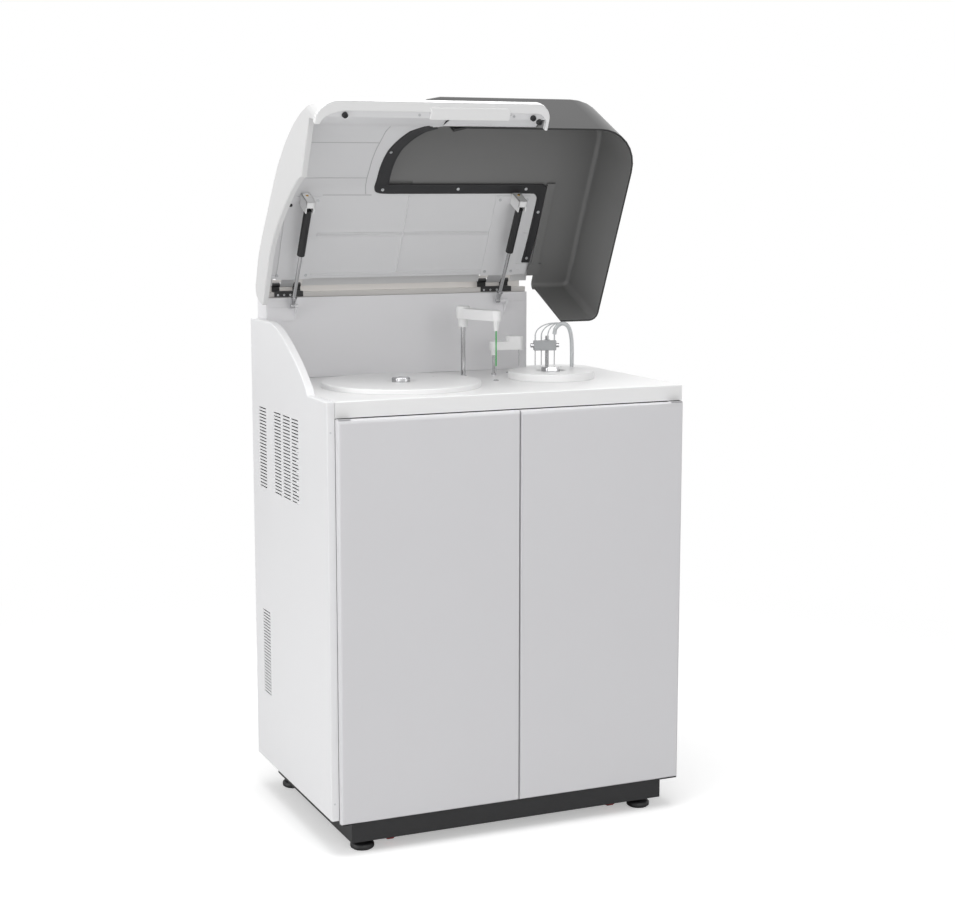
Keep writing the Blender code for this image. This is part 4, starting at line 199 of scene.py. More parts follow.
# %% [markdown]
# Soft lamps are large area lamps. One hangs straight above, so that the deck and covers read
# white. Two stand on the left, so that the side panel reads a little lighter than the doors, as on
# the real one. The one in front reaches the doors, the wall behind the deck and the inside of the
# open lid, where nothing comes from above.

# %% Lamps
LAMPS = [
    ("lamp_top", (-0.2, -0.4, 3.6), (0, 0, 0.9), 2.2, 74),
    ("lamp_left", (-4.0, -0.4, 1.2), (0, 0, 0.8), 2.4, 46),
    ("lamp_key", (-3.2, -1.6, 3.0), (0, 0, 0.9), 2.4, 18),
    ("lamp_front", (0.2, -4.3, 2.2), (0, 0, 1.1), 2.6, 35),
]


def make_lamp(name, place, target, side, power):
    """Hang a square soft lamp and aim it."""
    data = bpy.data.lights.new(name, "AREA")
    data.energy = power
    data.size = side
    lamp = put(name, data)
    lamp.location = place
    lamp.rotation_euler = (Vector(target) - Vector(place)).to_track_quat("-Z", "Y").to_euler()


for lamp in LAMPS:
    make_lamp(*lamp)
print("lamps", [lamp[0] for lamp in LAMPS])

# %% [markdown]
# ## Finishes
# Powder coat on sheet metal is never quite flat: it has the fine dimpled skin called orange peel,
# and its gloss changes a little from place to place. Both come from noise in metres on the piece
# itself. The same recipe with other numbers gives moulded plastic, rubber and plated steel, so one
# helper builds them all. A recipe is a colour, a roughness, the grain in waves per metre, the depth
# of the grain in mm, the drift of colour, and what sets the finish apart, such as its metal.

# %% A painted or moulded finish
BUMP_STRENGTH = 0.5
DRIFT_GRAIN = 7
LEAST_ROUGHNESS = 0.02


def coated(name, colour, roughness, grain, depth, mottle, metallic=0.0, coat=0.0, coat_roughness=0.2,
           spread=0.06, stretch=(1, 1, 1)):
    """A coat, moulding or metal: plain values, a fine bump, and a faint drift of colour and gloss."""
    material = bpy.data.materials.new(name)
    material.use_nodes = True
    material.diffuse_color = (*colour, 1)
    tree = material.node_tree
    shader = tree.nodes["Principled BSDF"]
    for socket, value in (("Base Color", (*colour, 1)), ("Roughness", roughness), ("Metallic", metallic),
                          ("Coat Weight", coat), ("Coat Roughness", coat_roughness)):
        shader.inputs[socket].default_value = value
    darker = (*[c * (1 - mottle) for c in colour], 1)
    lighter = (*[min(1, c * (1 + mottle)) for c in colour], 1)
    place = node_of(tree, "ShaderNodeTexCoord", (-1100, 0))
    turn = node_of(tree, "ShaderNodeMapping", (-920, 0), {"Scale": stretch})
    fine = node_of(tree, "ShaderNodeTexNoise", (-720, -200), {"Scale": grain, "Detail": 3})
    bump = node_of(tree, "ShaderNodeBump", (-300, -300), {"Strength": BUMP_STRENGTH, "Distance": depth})
    wide = node_of(tree, "ShaderNodeTexNoise", (-720, 200), {"Scale": DRIFT_GRAIN, "Detail": 4})
    tint = node_of(tree, "ShaderNodeMix", (-420, 300), {"A": darker, "B": lighter}, data_type="RGBA")
    gloss = node_of(tree, "ShaderNodeMapRange", (-420, 60),
                    {"To Min": max(LEAST_ROUGHNESS, roughness - spread), "To Max": roughness + spread})
    wire(tree, (place, "Object", turn, "Vector"), (turn, "Vector", fine, "Vector"),
         (fine, "Fac", bump, "Height"), (bump, "Normal", shader, "Normal"),
         (place, "Object", wide, "Vector"), (wide, "Fac", tint, "Factor"),
         (tint, "Result", shader, "Base Color"), (wide, "Fac", gloss, "Value"),
         (gloss, "Result", shader, "Roughness"))
    return material


RECIPES = {
    "paint_white": ((0.80, 0.80, 0.81), 0.38, 900, 0.02, 0.008, {}),
    "paint_grey": ((0.672, 0.668, 0.685), 0.36, 900, 0.02, 0.008, {}),
    # The wall's grey is the doors' paint made lighter: painted light for the shade under the open lid.
    "wall_grey_painted_light": ((0.83, 0.825, 0.84), 0.38, 900, 0.02, 0.008, {}),
    "paint_beige": ((0.66, 0.64, 0.62), 0.42, 900, 0.03, 0.015, {}),
    "liner_grey": ((0.74, 0.74, 0.75), 0.45, 1400, 0.04, 0.012, {}),
    "mould_white": ((0.85, 0.85, 0.85), 0.33, 1100, 0.006, 0.006, {}),
    # The lid shell's white is the moulding's white made darker: painted shade that keeps its top from
    # going white under the lamp above.
    "shell_white_painted_shade": ((0.70, 0.70, 0.70), 0.36, 1100, 0.010, 0.008, {}),
    "seam_grey": ((0.50, 0.50, 0.51), 0.50, 1400, 0.04, 0.015, {}),
    "clear_block": ((0.46, 0.47, 0.48), 0.16, 900, 0.01, 0.05, {"coat": 0.4, "coat_roughness": 0.08}),
    "brass": ((0.62, 0.42, 0.16), 0.25, 400, 0.01, 0.03, {"metallic": 1.0}),
    # The smoked plastic has two copies: a lighter one with painted light for the hood's inside and flange,
    # and a darker one with painted shade for its outside and rim.
    "smoked_plastic": ((0.180, 0.180, 0.178), 0.48, 700, 0.01, 0.03, {}),
    "smoked_painted_shade": ((0.022, 0.022, 0.022), 0.30, 700, 0.01, 0.05, {}),
    "seal_black": ((0.018, 0.018, 0.020), 0.55, 1600, 0.06, 0.10, {}),
    "frame_black": ((0.011, 0.011, 0.012), 0.50, 1000, 0.03, 0.06, {}),
    "steel": ((0.56, 0.56, 0.57), 0.34, 500, 0.01, 0.03, {"metallic": 1.0, "stretch": (0.05, 1, 1)}),
    "chrome": ((0.50, 0.50, 0.51), 0.14, 300, 0.004, 0.03, {"metallic": 1.0, "spread": 0.03}),
    "red_tyre": ((0.42, 0.03, 0.03), 0.50, 1200, 0.05, 0.08, {}),
    "green_sleeve": ((0.07, 0.42, 0.12), 0.40, 1500, 0.03, 0.05, {}),
    "hose_grey": ((0.64, 0.66, 0.67), 0.22, 900, 0.02, 0.03, {}),
    "motor_black": ((0.024, 0.024, 0.026), 0.45, 1200, 0.05, 0.06, {}),
    "galvanised": ((0.58, 0.59, 0.60), 0.36, 260, 0.02, 0.12, {"metallic": 1.0, "spread": 0.12}),
}
FINISH = {name: coated(name, colour, roughness, grain, depth * MM, mottle, **more)
          for name, (colour, roughness, grain, depth, mottle, more) in RECIPES.items()}
print("finishes", len(FINISH))

# %% [markdown]
# ## Rolled edges
# Bent sheet metal and mouldings have no knife edges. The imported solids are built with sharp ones,
# so each is copied, its loose triangles are merged back into whole faces, its sharp edges get a
# small round, and curved faces are shaded smooth. The copy then stands for the solid.

# %% Copy a solid and round its edges
MERGE_DISTANCE = 0.005 * MM
FLAT_ANGLE = math.radians(0.4)
FLAT_WEIGHT = 60


def clean_copy(node):
    """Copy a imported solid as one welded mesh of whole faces, in a bmesh."""
    work = bmesh.new()
    work.from_mesh(frame["nodes"][node].data)
    bmesh.ops.remove_doubles(work, verts=work.verts, dist=MERGE_DISTANCE)
    bmesh.ops.dissolve_limit(work, angle_limit=FLAT_ANGLE, verts=work.verts, edges=work.edges)
    return work


def applied(piece):
    """Bake a piece's modifiers into a plain mesh."""
    bpy.context.view_layer.update()
    graph = bpy.context.evaluated_depsgraph_get()
    mesh = bpy.data.meshes.new_from_object(piece.evaluated_get(graph))
    piece.modifiers.clear()
    piece.data = mesh
    return piece


def from_work(work, name):
    """Put a bmesh into the scene as an object."""
    mesh = bpy.data.meshes.new(name)
    work.to_mesh(mesh)
    work.free()
    return put(name, mesh)


def settle(piece, material, body, smooth=40):
    """Shade a piece so that its flats stay flat, paint it and let it ride on its body."""
    piece.data.shade_smooth()
    piece.data.set_sharp_from_angle(angle=math.radians(smooth))
    level = piece.modifiers.new("level", "WEIGHTED_NORMAL")
    level.mode = "FACE_AREA"
    level.weight = FLAT_WEIGHT
    level.keep_sharp = True
    applied(piece)
    piece.data.materials.clear()
    piece.data.materials.append(FINISH[material])
    if body:
        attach(piece, body)
    return piece


def as_piece(work, name, material, body, smooth=40):
    """Turn a bmesh into a finished piece."""
    return settle(from_work(work, name), material, body, smooth)


def round_sharp(work, width, segments=2, above=50, where=None):
    """Round the edges that turn by more than an angle, inside a region if one is given."""
    limit = math.radians(above)
    chosen = []
    for edge in work.edges:
        if len(edge.link_faces) != 2 or edge.calc_face_angle(0) < limit:
            continue
        if where is None or where((edge.verts[0].co + edge.verts[1].co) / 2):
            chosen.append(edge)
    bmesh.ops.bevel(work, geom=chosen, offset=width, segments=segments, profile=0.5,
                    affect="EDGES", clamp_overlap=True)
    return work


def body_of(node):
    """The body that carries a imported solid."""
    return frame["nodes"][node]["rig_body"]


def stand_in(work, node, material):
    """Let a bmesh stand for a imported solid, on the same body."""
    piece = as_piece(work, node + "_made", material, body_of(node))
    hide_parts(node)
    return piece


def dress(node, material, width=0):
    """Stand a rounded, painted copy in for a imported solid."""
    work = clean_copy(node)
    if width:
        round_sharp(work, width)
    return stand_in(work, node, material)


def add_box(work, low, high):
    """Add a box to a bmesh, from its lowest to its highest corner."""
    for vert in bmesh.ops.create_cube(work, size=1)["verts"]:
        vert.co = [high[axis] if vert.co[axis] > 0 else low[axis] for axis in range(3)]


# %% [markdown]
# ## Cabinet
# The cabinet is folded sheet: a black plinth and frame, coated panels on its sides and two doors on
# pin hinges in front. Folds have a radius of about the sheet's thickness, and the visible panels a
# little more, so each piece gets its own width of round, in mm. The two thin plates that hold the
# doors' top pins belong to the frame's solid, but show above the doors, so they are painted grey
# like them.

# %% Plinth, frame, panels and doors
PLAIN = [
    ("base_plinth", "frame_black", 0.8), ("chassis_frame", "frame_black", 0.6),
    ("arm_drive_frame", "steel", 0.3), ("power_supply", "galvanised", 0.5),
    ("syringe_module", "paint_grey", 0.8), ("rear_panel", "paint_white", 0.4),
    # The back wall takes a lighter copy of the doors' paint, with painted light.
    ("well_back_wall", "wall_grey_painted_light", 0.5), ("hinge_rail", "paint_beige", 0.3),
    ("reagent_tub", "steel", 0.3), ("reagent_motor", "motor_black", 0.5),
    ("reagent_turntable", "paint_grey", 0.3), ("reaction_bath", "steel", 0.2),
    ("reaction_motor", "motor_black", 0.5), ("wash_cups", "chrome", 0.15),
    ("cuvette_wheel", "mould_white", 0),
]
for node, material, width in PLAIN:
    dress(node, material, width * MM)
CORNERS = ("front_left", "front_right", "rear_left", "rear_right")
for corner in CORNERS:
    dress("foot_" + corner, "frame_black", 0.8 * MM)
    dress("caster_fork_" + corner, "galvanised", 0.3 * MM)
    dress("caster_wheel_" + corner, "red_tyre", 0.8 * MM)
FRAME_FRONT_Y = -0.2410
PIVOT_FRONT_Y = FRAME_FRONT_Y - 0.5 * MM
PIVOT_LOW_Z = 0.85
chassis = bpy.data.objects["chassis_frame_made"].data
chassis.materials.append(FINISH["paint_grey"])
pivots = [face for face in chassis.polygons
          if face.center.y < PIVOT_FRONT_Y and face.center.z > PIVOT_LOW_Z]
for face in pivots:
    face.material_index = 1
print("dressed", len(PLAIN) + 3 * len(CORNERS), "pivot faces", len(pivots))

# %% [markdown]
# A steel door of this kind is a pan: one sheet pressed with a wide roll along its top, a smaller
# one on its outer side and a tight one at the seam, and open at the back. It is built as a box
# with a pocket, and each front edge carries a bevel weight, so that one Bevel modifier rolls every
# edge by its own radius.

# %% Doors
DOOR_ROLL = 10 * MM
DOOR_SHARES = {"top": 1.0, "outer": 0.65, "seam": 0.26, "bottom": 0.5}
DOOR_SKIN = 3 * MM
DOOR_RIM = 7 * MM
DOOR_STEPS = 7
FACES_BACK = 0.9
SAME_PLACE = 1e-6


def make_door(side):
    """Press a door pan with a different roll on each front edge."""
    node = "door_" + side
    low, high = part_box(node)
    work = bmesh.new()
    add_box(work, low, high)
    work.normal_update()
    back = [face for face in work.faces if face.normal.y > FACES_BACK]
    bmesh.ops.inset_region(work, faces=back, thickness=DOOR_RIM, use_even_offset=True)
    pocket = bmesh.ops.extrude_discrete_faces(work, faces=back)["faces"][0]
    for vert in pocket.verts:
        vert.co.y = low.y + DOOR_SKIN
    weights = work.edges.layers.float.new("bevel_weight_edge")
    middle_x = (low.x + high.x) / 2
    for edge in work.edges:
        a, b = edge.verts[0].co, edge.verts[1].co
        if abs(a.y - low.y) > SAME_PLACE or abs(b.y - low.y) > SAME_PLACE:
            continue
        if abs(a.z - b.z) < SAME_PLACE:
            edge[weights] = DOOR_SHARES["top" if a.z > (low.z + high.z) / 2 else "bottom"]
        else:
            outer = (a.x < middle_x) == (side == "left")
            edge[weights] = DOOR_SHARES["outer" if outer else "seam"]
    door = from_work(work, node + "_made")
    roll = door.modifiers.new("roll", "BEVEL")
    roll.limit_method = "WEIGHT"
    roll.width = DOOR_ROLL
    roll.segments = DOOR_STEPS
    applied(door)
    settle(door, "paint_grey", body_of(node))
    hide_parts(node)
    return door


for side in ("left", "right"):
    door = make_door(side)
    print(door.name, len(door.data.polygons), "faces")

# %% [markdown]
# Most of the small forms ahead are a plan outline raised into a solid, sometimes with other solids
# taken off or added by an exact Boolean. These few tools make them: points on an arc, a Bezier curve
# with four control points, a solid lofted from rings of points, a prism and a cut.

# %% Arcs, curves, prisms and cuts
def arc_points(centre, radius, start, end, steps):
    """Points on an arc in plan, both ends included; the angles are in degrees."""
    turns = [math.radians(start + (end - start) * step / steps) for step in range(steps + 1)]
    return [(centre[0] + radius * math.cos(t), centre[1] + radius * math.sin(t)) for t in turns]


def bezier(points, t):
    """A point of the curve with four control points, from 0 to 1."""
    a, b, c, d = points
    return a * (1 - t) ** 3 + b * 3 * t * (1 - t) ** 2 + c * 3 * t * t * (1 - t) + d * t ** 3


def loft(rings):
    """Join rings of points into one closed bmesh, with a face over each end."""
    work = bmesh.new()
    rings = [[work.verts.new(point) for point in ring] for ring in rings]
    for one, two in zip(rings, rings[1:]):
        for step in range(len(one)):
            after = (step + 1) % len(one)
            work.faces.new([one[step], one[after], two[after], two[step]])
    work.faces.new(rings[0])
    work.faces.new(rings[-1])
    bmesh.ops.recalc_face_normals(work, faces=work.faces)
    return work


def prism(outline, low, high, place):
    """Raise a plan outline between two heights and set it in place, as a closed bmesh."""
    return loft([[place((x, y, z)) for x, y in outline] for z in (low, high)])


def cut(work, cutters, how="DIFFERENCE"):
    """Cut a closed bmesh by others, or join them to it, and return the result as a bmesh."""
    piece = from_work(work, "cut_piece")
    tools = [from_work(cutter, "cut_tool") for cutter in cutters]
    for tool in tools:
        step = piece.modifiers.new("cut", "BOOLEAN")
        step.operation = how
        step.solver = "EXACT"
        step.object = tool
    applied(piece)
    result = bmesh.new()
    result.from_mesh(piece.data)
    for spare in tools + [piece]:
        bpy.data.objects.remove(spare)
    bmesh.ops.dissolve_limit(result, angle_limit=FLAT_ANGLE, verts=result.verts, edges=result.edges)
    return result


print("tools", [tool.__name__ for tool in (arc_points, bezier, loft, prism, cut)])

# %% [markdown]
# The side panels are coated sheets with folded edges. Only the folds get a round, because the slots
# of the vents are punched and stay sharp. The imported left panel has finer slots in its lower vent
# than the real one, so a strip of sheet is joined over them and punched again, all slots at once.

# %% Side panels
VENT_MARGIN = 3 * MM
WING_Z = 0.90
PANEL_ROUND = 1.2 * MM
SHEET = 2 * MM
LOW_VENT = {"y": (0.152, 0.203), "z": 0.2355, "pitch": 6.85 * MM, "slot": 2.7 * MM, "count": 28}
FILLER_Z = (0.2310, 0.4330)
FILLER_MARGIN = 4 * MM
panel_low, panel_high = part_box("side_panel_left")


def outer_edge(middle):
    """True away from the panel's vent slots, where the sheet folds."""
    across = min(middle.y - panel_low.y, panel_high.y - middle.y)
    return across < VENT_MARGIN or middle.z > WING_Z or middle.z - panel_low.z < VENT_MARGIN


def punch_low_vent():
    """Fill the panel's lower vent and punch it with its coarser slots."""
    outside = panel_low.x
    near, far = LOW_VENT["y"]
    filler, slots = bmesh.new(), bmesh.new()
    add_box(filler, (outside, near - FILLER_MARGIN, FILLER_Z[0]),
            (outside + SHEET, far + FILLER_MARGIN, FILLER_Z[1]))
    for step in range(LOW_VENT["count"]):
        low_z = LOW_VENT["z"] + step * LOW_VENT["pitch"]
        add_box(slots, (outside - MM, near, low_z), (outside + SHEET + MM, far, low_z + LOW_VENT["slot"]))
    return cut(cut(clean_copy("side_panel_left"), [filler], "UNION"), [slots])


panel = round_sharp(punch_low_vent(), PANEL_ROUND, 2, 50, outer_edge)
stand_in(panel, "side_panel_left", "paint_white")
dress("side_panel_right", "paint_white", PANEL_ROUND)
print("side panels", LOW_VENT["count"], "lower slots")

# %% [markdown]
# ## Deck
# The deck is one moulding with a crisp front edge. The covers and arms are mouldings too, and the
# posts and knobs are plated metal. All of them are copies of their solids with rounded edges, and
# only the deck's front roll is pulled in to the real radius, point by point.

# %% Deck, covers, arms and knobs
DECK_ROLL = 15 * MM
DECK_CRISP = 3 * MM
ROLL_EDGE = 0.1 * MM
ROLL_DEPTH = 2 * MM


def crisp_front(work):
    """Tighten the deck's front roll, which is drawn in the source as a wide one."""
    low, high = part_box("deck_top")
    before = Vector((low.y + DECK_ROLL, high.z - DECK_ROLL))
    after = Vector((low.y + DECK_CRISP, high.z - DECK_CRISP))
    for vert in work.verts:
        arm = Vector((vert.co.y, vert.co.z)) - before
        if arm.x < ROLL_EDGE and arm.y > -ROLL_EDGE and arm.length > DECK_ROLL - ROLL_DEPTH:
            vert.co.y, vert.co.z = after + arm * (DECK_CRISP / DECK_ROLL)
    return work


deck = crisp_front(clean_copy("deck_top"))
stand_in(round_sharp(deck, 1.0 * MM, 2, 60), "deck_top", "mould_white")

for node, material, width in [
        ("reagent_cover", "mould_white", 0.6), ("reaction_cover", "mould_white", 0.5),
        ("reagent_knob", "chrome", 0.3), ("reaction_knob", "chrome", 0.3), ("sample_post", "chrome", 0.3),
        ("sample_arm", "mould_white", 0.4), ("mixer_post", "chrome", 0.3), ("wash_post", "chrome", 0.3),
        ("hose_arch", "hose_grey", 0)]:
    dress(node, material, width * MM)
print("deck dressed")

# %% [markdown]
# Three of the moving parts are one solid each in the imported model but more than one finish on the
# real object: the needle has a green sleeve and a bare steel tip, the stirrer a steel rod under a
# white arm, and the wash head a clear block with steel probes and plated thumbscrews. Faces are
# told apart by where they are, and each gets the finish of its part.

# %% Pieces with more than one finish
def dress_zones(node, finishes, zone, width=0.3):
    """Dress a solid, then give each face the finish that its place asks for."""
    piece = dress(node, finishes[0], width * MM)
    for finish in finishes[1:]:
        piece.data.materials.append(FINISH[finish])
    for polygon in piece.data.polygons:
        polygon.material_index = zone(polygon)
    return piece


mixer_low, mixer_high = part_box("mixer_arm")
mixer_middle = (mixer_low.x + mixer_high.x) / 2
SLEEVE_END_Z = 0.9660
ROD_TOP_Z = 0.9760
BLOCK_LOW_Z = 0.9868
BLOCK_TOP_Z = 1.0101
BLOCK_END = 0.0257
WASH_MIDDLE = Vector((0.2230, 0.0620))
WASH_ALONG = Vector((0.9613, -0.2753))


def wash_zone(face):
    """Steel below the block and at its ends, hose above it, and the clear block itself."""
    place = face.center
    if place.z < BLOCK_LOW_Z:
        return 1
    if place.z > BLOCK_TOP_Z:
        return 2
    reach = (Vector((place.x, place.y)) - WASH_MIDDLE).dot(WASH_ALONG)
    return 1 if abs(reach) > BLOCK_END else 0


dress_zones("sample_probe", ["green_sleeve", "chrome"], lambda face: int(face.center.z < SLEEVE_END_Z), 0)
dress_zones("mixer_arm", ["mould_white", "chrome"],
            lambda face: int(face.center.z < ROD_TOP_Z and face.center.x > mixer_middle))
wash = dress_zones("wash_head", ["clear_block", "chrome", "hose_grey"], wash_zone)
print("wash head finishes", len(wash.data.materials))

# %% [markdown]
# ## Lid
# The lid is a curved coated shell with a grey liner, held open by two gas struts, with a smoked
# hood let into its right half on a black gasket.

# %% Lid shell with rounded front corners
HINGE = Vector((0, 0.2276, 1.1377))
LID_OPEN = Matrix.Translation(HINGE) @ Matrix.Rotation(math.radians(-64.4), 4, "X")
LIP_FRONT = -0.5328
LIP_LOW = -0.2359
LIP_LEFT = -0.400
LIP_RIGHT = 0.105
CORNER_LEFT = 0.046
CORNER_RIGHT = 0.036
CORNER_HEIGHT = 0.12
LID_BODY = body_of("lid_shell")


def on_lid(point):
    """A point of the closed lid, measured from its hinge line, at its place on the open lid."""
    return LID_OPEN @ Vector(point)


def corner_cutter(x, side, radius):
    """What a rounded corner takes off the lid's front: a square less a quarter disc."""
    beyond = 2 * MM
    centre = (x - side * radius, LIP_FRONT + radius)
    ends = (-90, 0) if side > 0 else (-90, -180)
    round_line = arc_points(centre, radius, *ends, 10)
    outline = [(x + side * beyond, LIP_FRONT + radius), (x + side * beyond, LIP_FRONT - beyond),
               (x - side * radius, LIP_FRONT - beyond)] + round_line
    return prism(outline, LIP_LOW - beyond, LIP_LOW + CORNER_HEIGHT, on_lid)


shell = cut(clean_copy("lid_shell"), [corner_cutter(LIP_LEFT, -1, CORNER_LEFT),
                                      corner_cutter(LIP_RIGHT, 1, CORNER_RIGHT)])
# The shell takes a darker copy of the white moulding, with painted shade.
shell = stand_in(round_sharp(shell, 1.5 * MM, 2, 55), "lid_shell", "shell_white_painted_shade")
print("lid shell", len(shell.data.polygons), "faces")

# %% [markdown]
# The lid's lower edge is a flat rim that runs round both front corners. On the inside of the rim
# lies a grey trim strip in two lengths, and in its middle a finger grip. The rim and grip are plan
# outlines raised by a few millimetres, the strip is a side profile run across the lid, and all have
# rolled edges.

# %% Rim, trim strip and grip
RIM_IN = -0.5115
STRIP_IN = -0.4970
RIM_END = -0.4750
RIM_THICK = 0.012
RIM_SIDE = 6 * MM
RIM_GAP = 0.5 * MM
RIM_LEFT_END = -0.4820
OVAL_RIGHT = 26 * MM
OVAL_LEFT = (58 * MM, 29 * MM)
WALL_IN = -0.3880
HOOD_SIDE_X = -0.1000
STRIP_LAP = 12 * MM
STRIP_END_X = 0.0960


def oval_points(centre, across, along, start, end, steps):
    """Points on an oval arc in plan; the angles are in degrees."""
    return [(centre[0] + (x - centre[0]) * across, centre[1] + (y - centre[1]) * along)
            for x, y in arc_points(centre, 1, start, end, steps)]


def rim_outline():
    """The rim in plan: outer edge with two round corners, inner edge with two softer ones."""
    left, right = LIP_LEFT, LIP_RIGHT - RIM_GAP
    outer = [(left + RIM_GAP, RIM_LEFT_END)]
    outer += arc_points((left + CORNER_LEFT, LIP_FRONT + CORNER_LEFT), CORNER_LEFT, 180, 270, 12)
    outer += arc_points((right - CORNER_RIGHT, LIP_FRONT + CORNER_RIGHT), CORNER_RIGHT, 270, 360, 12)
    outer += [(right, RIM_END)]
    right_in = right - RIM_SIDE
    inner = [(right_in, RIM_END)]
    inner += oval_points((right_in - OVAL_RIGHT, RIM_IN + OVAL_RIGHT), OVAL_RIGHT, OVAL_RIGHT, 360, 270, 8)
    inner += oval_points((WALL_IN + OVAL_LEFT[0], RIM_IN + OVAL_LEFT[1]), *OVAL_LEFT, 270, 180, 10)
    return outer + inner


def sideways(point):
    """Set a point of a side profile, (y, z) and its x across the lid, on the open lid."""
    y, z, x = point
    return on_lid((x, y, z))


rim = prism(rim_outline(), LIP_LOW - 0.3 * MM, LIP_LOW + RIM_THICK, on_lid)
as_piece(round_sharp(rim, 2.0 * MM, 4, 60), "lid_rim", "mould_white", LID_BODY)
STRIP = [(RIM_IN - 3 * MM, LIP_LOW + 3 * MM), (STRIP_IN, LIP_LOW + 3 * MM), (-0.4900, -0.2200),
         (-0.4700, -0.1920), (-0.4535, -0.1722), (-0.4510, -0.1600), (-0.5050, -0.2200)]
STRIP_HOOD = [STRIP[0], STRIP[1], (-0.4930, -0.2060), (-0.4900, -0.2005), (-0.4660, -0.1995),
              (-0.4660, -0.1965), (-0.5050, -0.2200)]
for name, profile, low_x, high_x in (
        ("lid_strip_left", STRIP, WALL_IN + 0.3 * MM, HOOD_SIDE_X),
        ("lid_strip_right", STRIP_HOOD, HOOD_SIDE_X - STRIP_LAP, STRIP_END_X)):
    strip = round_sharp(prism(profile, low_x, high_x, sideways), 1.0 * MM, 2, 60)
    as_piece(strip, name, "liner_grey", LID_BODY)
GRIP = (-0.1640, 0.0130)
GRIP_BACK = STRIP_IN + 1 * MM
grip = prism([(GRIP[0], -0.5225), (GRIP[1] - 8 * MM, -0.5225), (GRIP[1], -0.5140), (GRIP[1], GRIP_BACK),
              (GRIP[0] + 4 * MM, GRIP_BACK), (GRIP[0] + 4 * MM, -0.5160)],
             LIP_LOW - 2.0 * MM, LIP_LOW + 6 * MM, on_lid)
as_piece(round_sharp(grip, 1.6 * MM, 4, 50), "lid_grip", "mould_white", LID_BODY)
print("rim, strip and grip on", LID_BODY)

# %% [markdown]
# The hood is one dark tinted moulding. From inside, lit from the front, it reads mid grey; its
# outside and its rim read almost black. Both are the same plastic, so one mesh carries two copies
# of it: a lighter one with painted light inside, and a darker one with painted shade on the outside
# and rim. A face gets the painted shade if it looks up from the closed lid, lies at the rim, or
# looks away from the middle of the hood's front part or of its side leg.

# %% Hood
HOOD_LEG_X = 0.249
HOOD_LEG = (0.300, -0.250)
HOOD_FRONT = (0.120, -0.360)
HOOD_RIM_Z = -0.195
UPRIGHT = 0.08


def hood_shade_zone(face):
    """One for the painted shade on the hood's outside and rim, none for the painted light inside."""
    closed_lid = LID_OPEN.inverted()
    looks = closed_lid.to_3x3() @ face.normal
    place = closed_lid @ face.center
    if abs(looks.z) > UPRIGHT:
        return int(looks.z > 0 or place.z < HOOD_RIM_Z)
    middle = HOOD_LEG if place.x > HOOD_LEG_X else HOOD_FRONT
    return int(looks.x * (place.x - middle[0]) + looks.y * (place.y - middle[1]) > 0)


hood = dress_zones("smoked_hood", ["smoked_plastic", "smoked_painted_shade"], hood_shade_zone, 1.0).data.polygons
print("hood outside faces", sum(face.material_index for face in hood), "of", len(hood))

# %% [markdown]
# The liner is one formed grey sheet. Gas struts are a black painted tube with a plated rod, and the
# hinge leaves are black steel. Each is its own solid with its edges rounded and its own finish.

# %% Liner and struts
dress("lid_liner", "liner_grey", 0.8 * MM)
dress("lid_handle", "paint_grey", 0.8 * MM)
for side in ("left", "right"):
    dress("lid_bracket_" + side, "liner_grey", 0.4 * MM)
    dress("strut_tube_" + side, "frame_black", 0.4 * MM)
    dress("strut_rod_" + side, "chrome", 0.3 * MM)
    dress("hinge_leaf_" + side, "frame_black", 0.3 * MM)
    # The strut brackets take the same lighter grey, with painted light.
    dress("strut_bracket_" + side, "wall_grey_painted_light", 0.4 * MM)
print("lid dressed")

# %% [markdown]
# The gasket is one extruded rubber profile with a raised bead near each edge, laid on the liner
# round the hood's opening. It is lofted between two edge lines: at each step the same profile is
# stretched from one line to the other and set down on the liner.

# %% Hood gasket
LINER_LINE = ((-0.0340, -0.0355), (-0.2390, -0.0405), (-0.2580, -0.0430), (-0.3000, -0.0660),
              (-0.3680, -0.1010), (-0.4300, -0.1440), (-0.4540, -0.1720))
OPENING_CORNER_X = -0.140
OPENING_EDGE_Y = -0.258
OPENING_FRONT_Y = -0.330
OPENING_SHARE = (0.91, 0.79)
OPENING_CURVE = ((-0.1500, -0.2560), (-0.1720, -0.3350), (-0.1700, -0.4250), (-0.0900, -0.4600))
GASKET_REACH = (-0.0215, 0.0075)
GASKET_OUTER = (
    (-0.1740, -0.2500), (-0.1640, -0.2410), (-0.1450, -0.2392), (-0.1130, -0.2390), (0.0040, -0.2390),
    (0.1238, -0.2390), (0.1950, -0.2390), (0.2080, -0.2370), (0.2150, -0.2290), (0.2160, -0.2150),
    (0.2160, -0.1849), (0.2150, -0.1215), (0.2124, -0.0649))
GASKET_INNER = (
    (-0.1455, -0.2670), (-0.1425, -0.2640), (-0.1350, -0.2630), (-0.1130, -0.2630), (0.0040, -0.2630),
    (0.1238, -0.2630), (0.2100, -0.2630), (0.2270, -0.2610), (0.2345, -0.2530), (0.2365, -0.2300),
    (0.2365, -0.1849), (0.2350, -0.1215), (0.2327, -0.0645))
GASKET_PROFILE = ((0, 0.2), (0.02, 2.2), (0.08, 3.2), (0.14, 3.2), (0.20, 2.3), (0.80, 2.3), (0.86, 3.2),
                  (0.92, 3.2), (0.98, 2.2), (1, 0.2))


def liner_height(y):
    """The height of the liner's lower face at a place on the closed lid."""
    for (ay, az), (by, bz) in zip(LINER_LINE, LINER_LINE[1:]):
        if y >= by:
            return az + (bz - az) * (y - ay) / (by - ay)
    return LINER_LINE[-1][1]


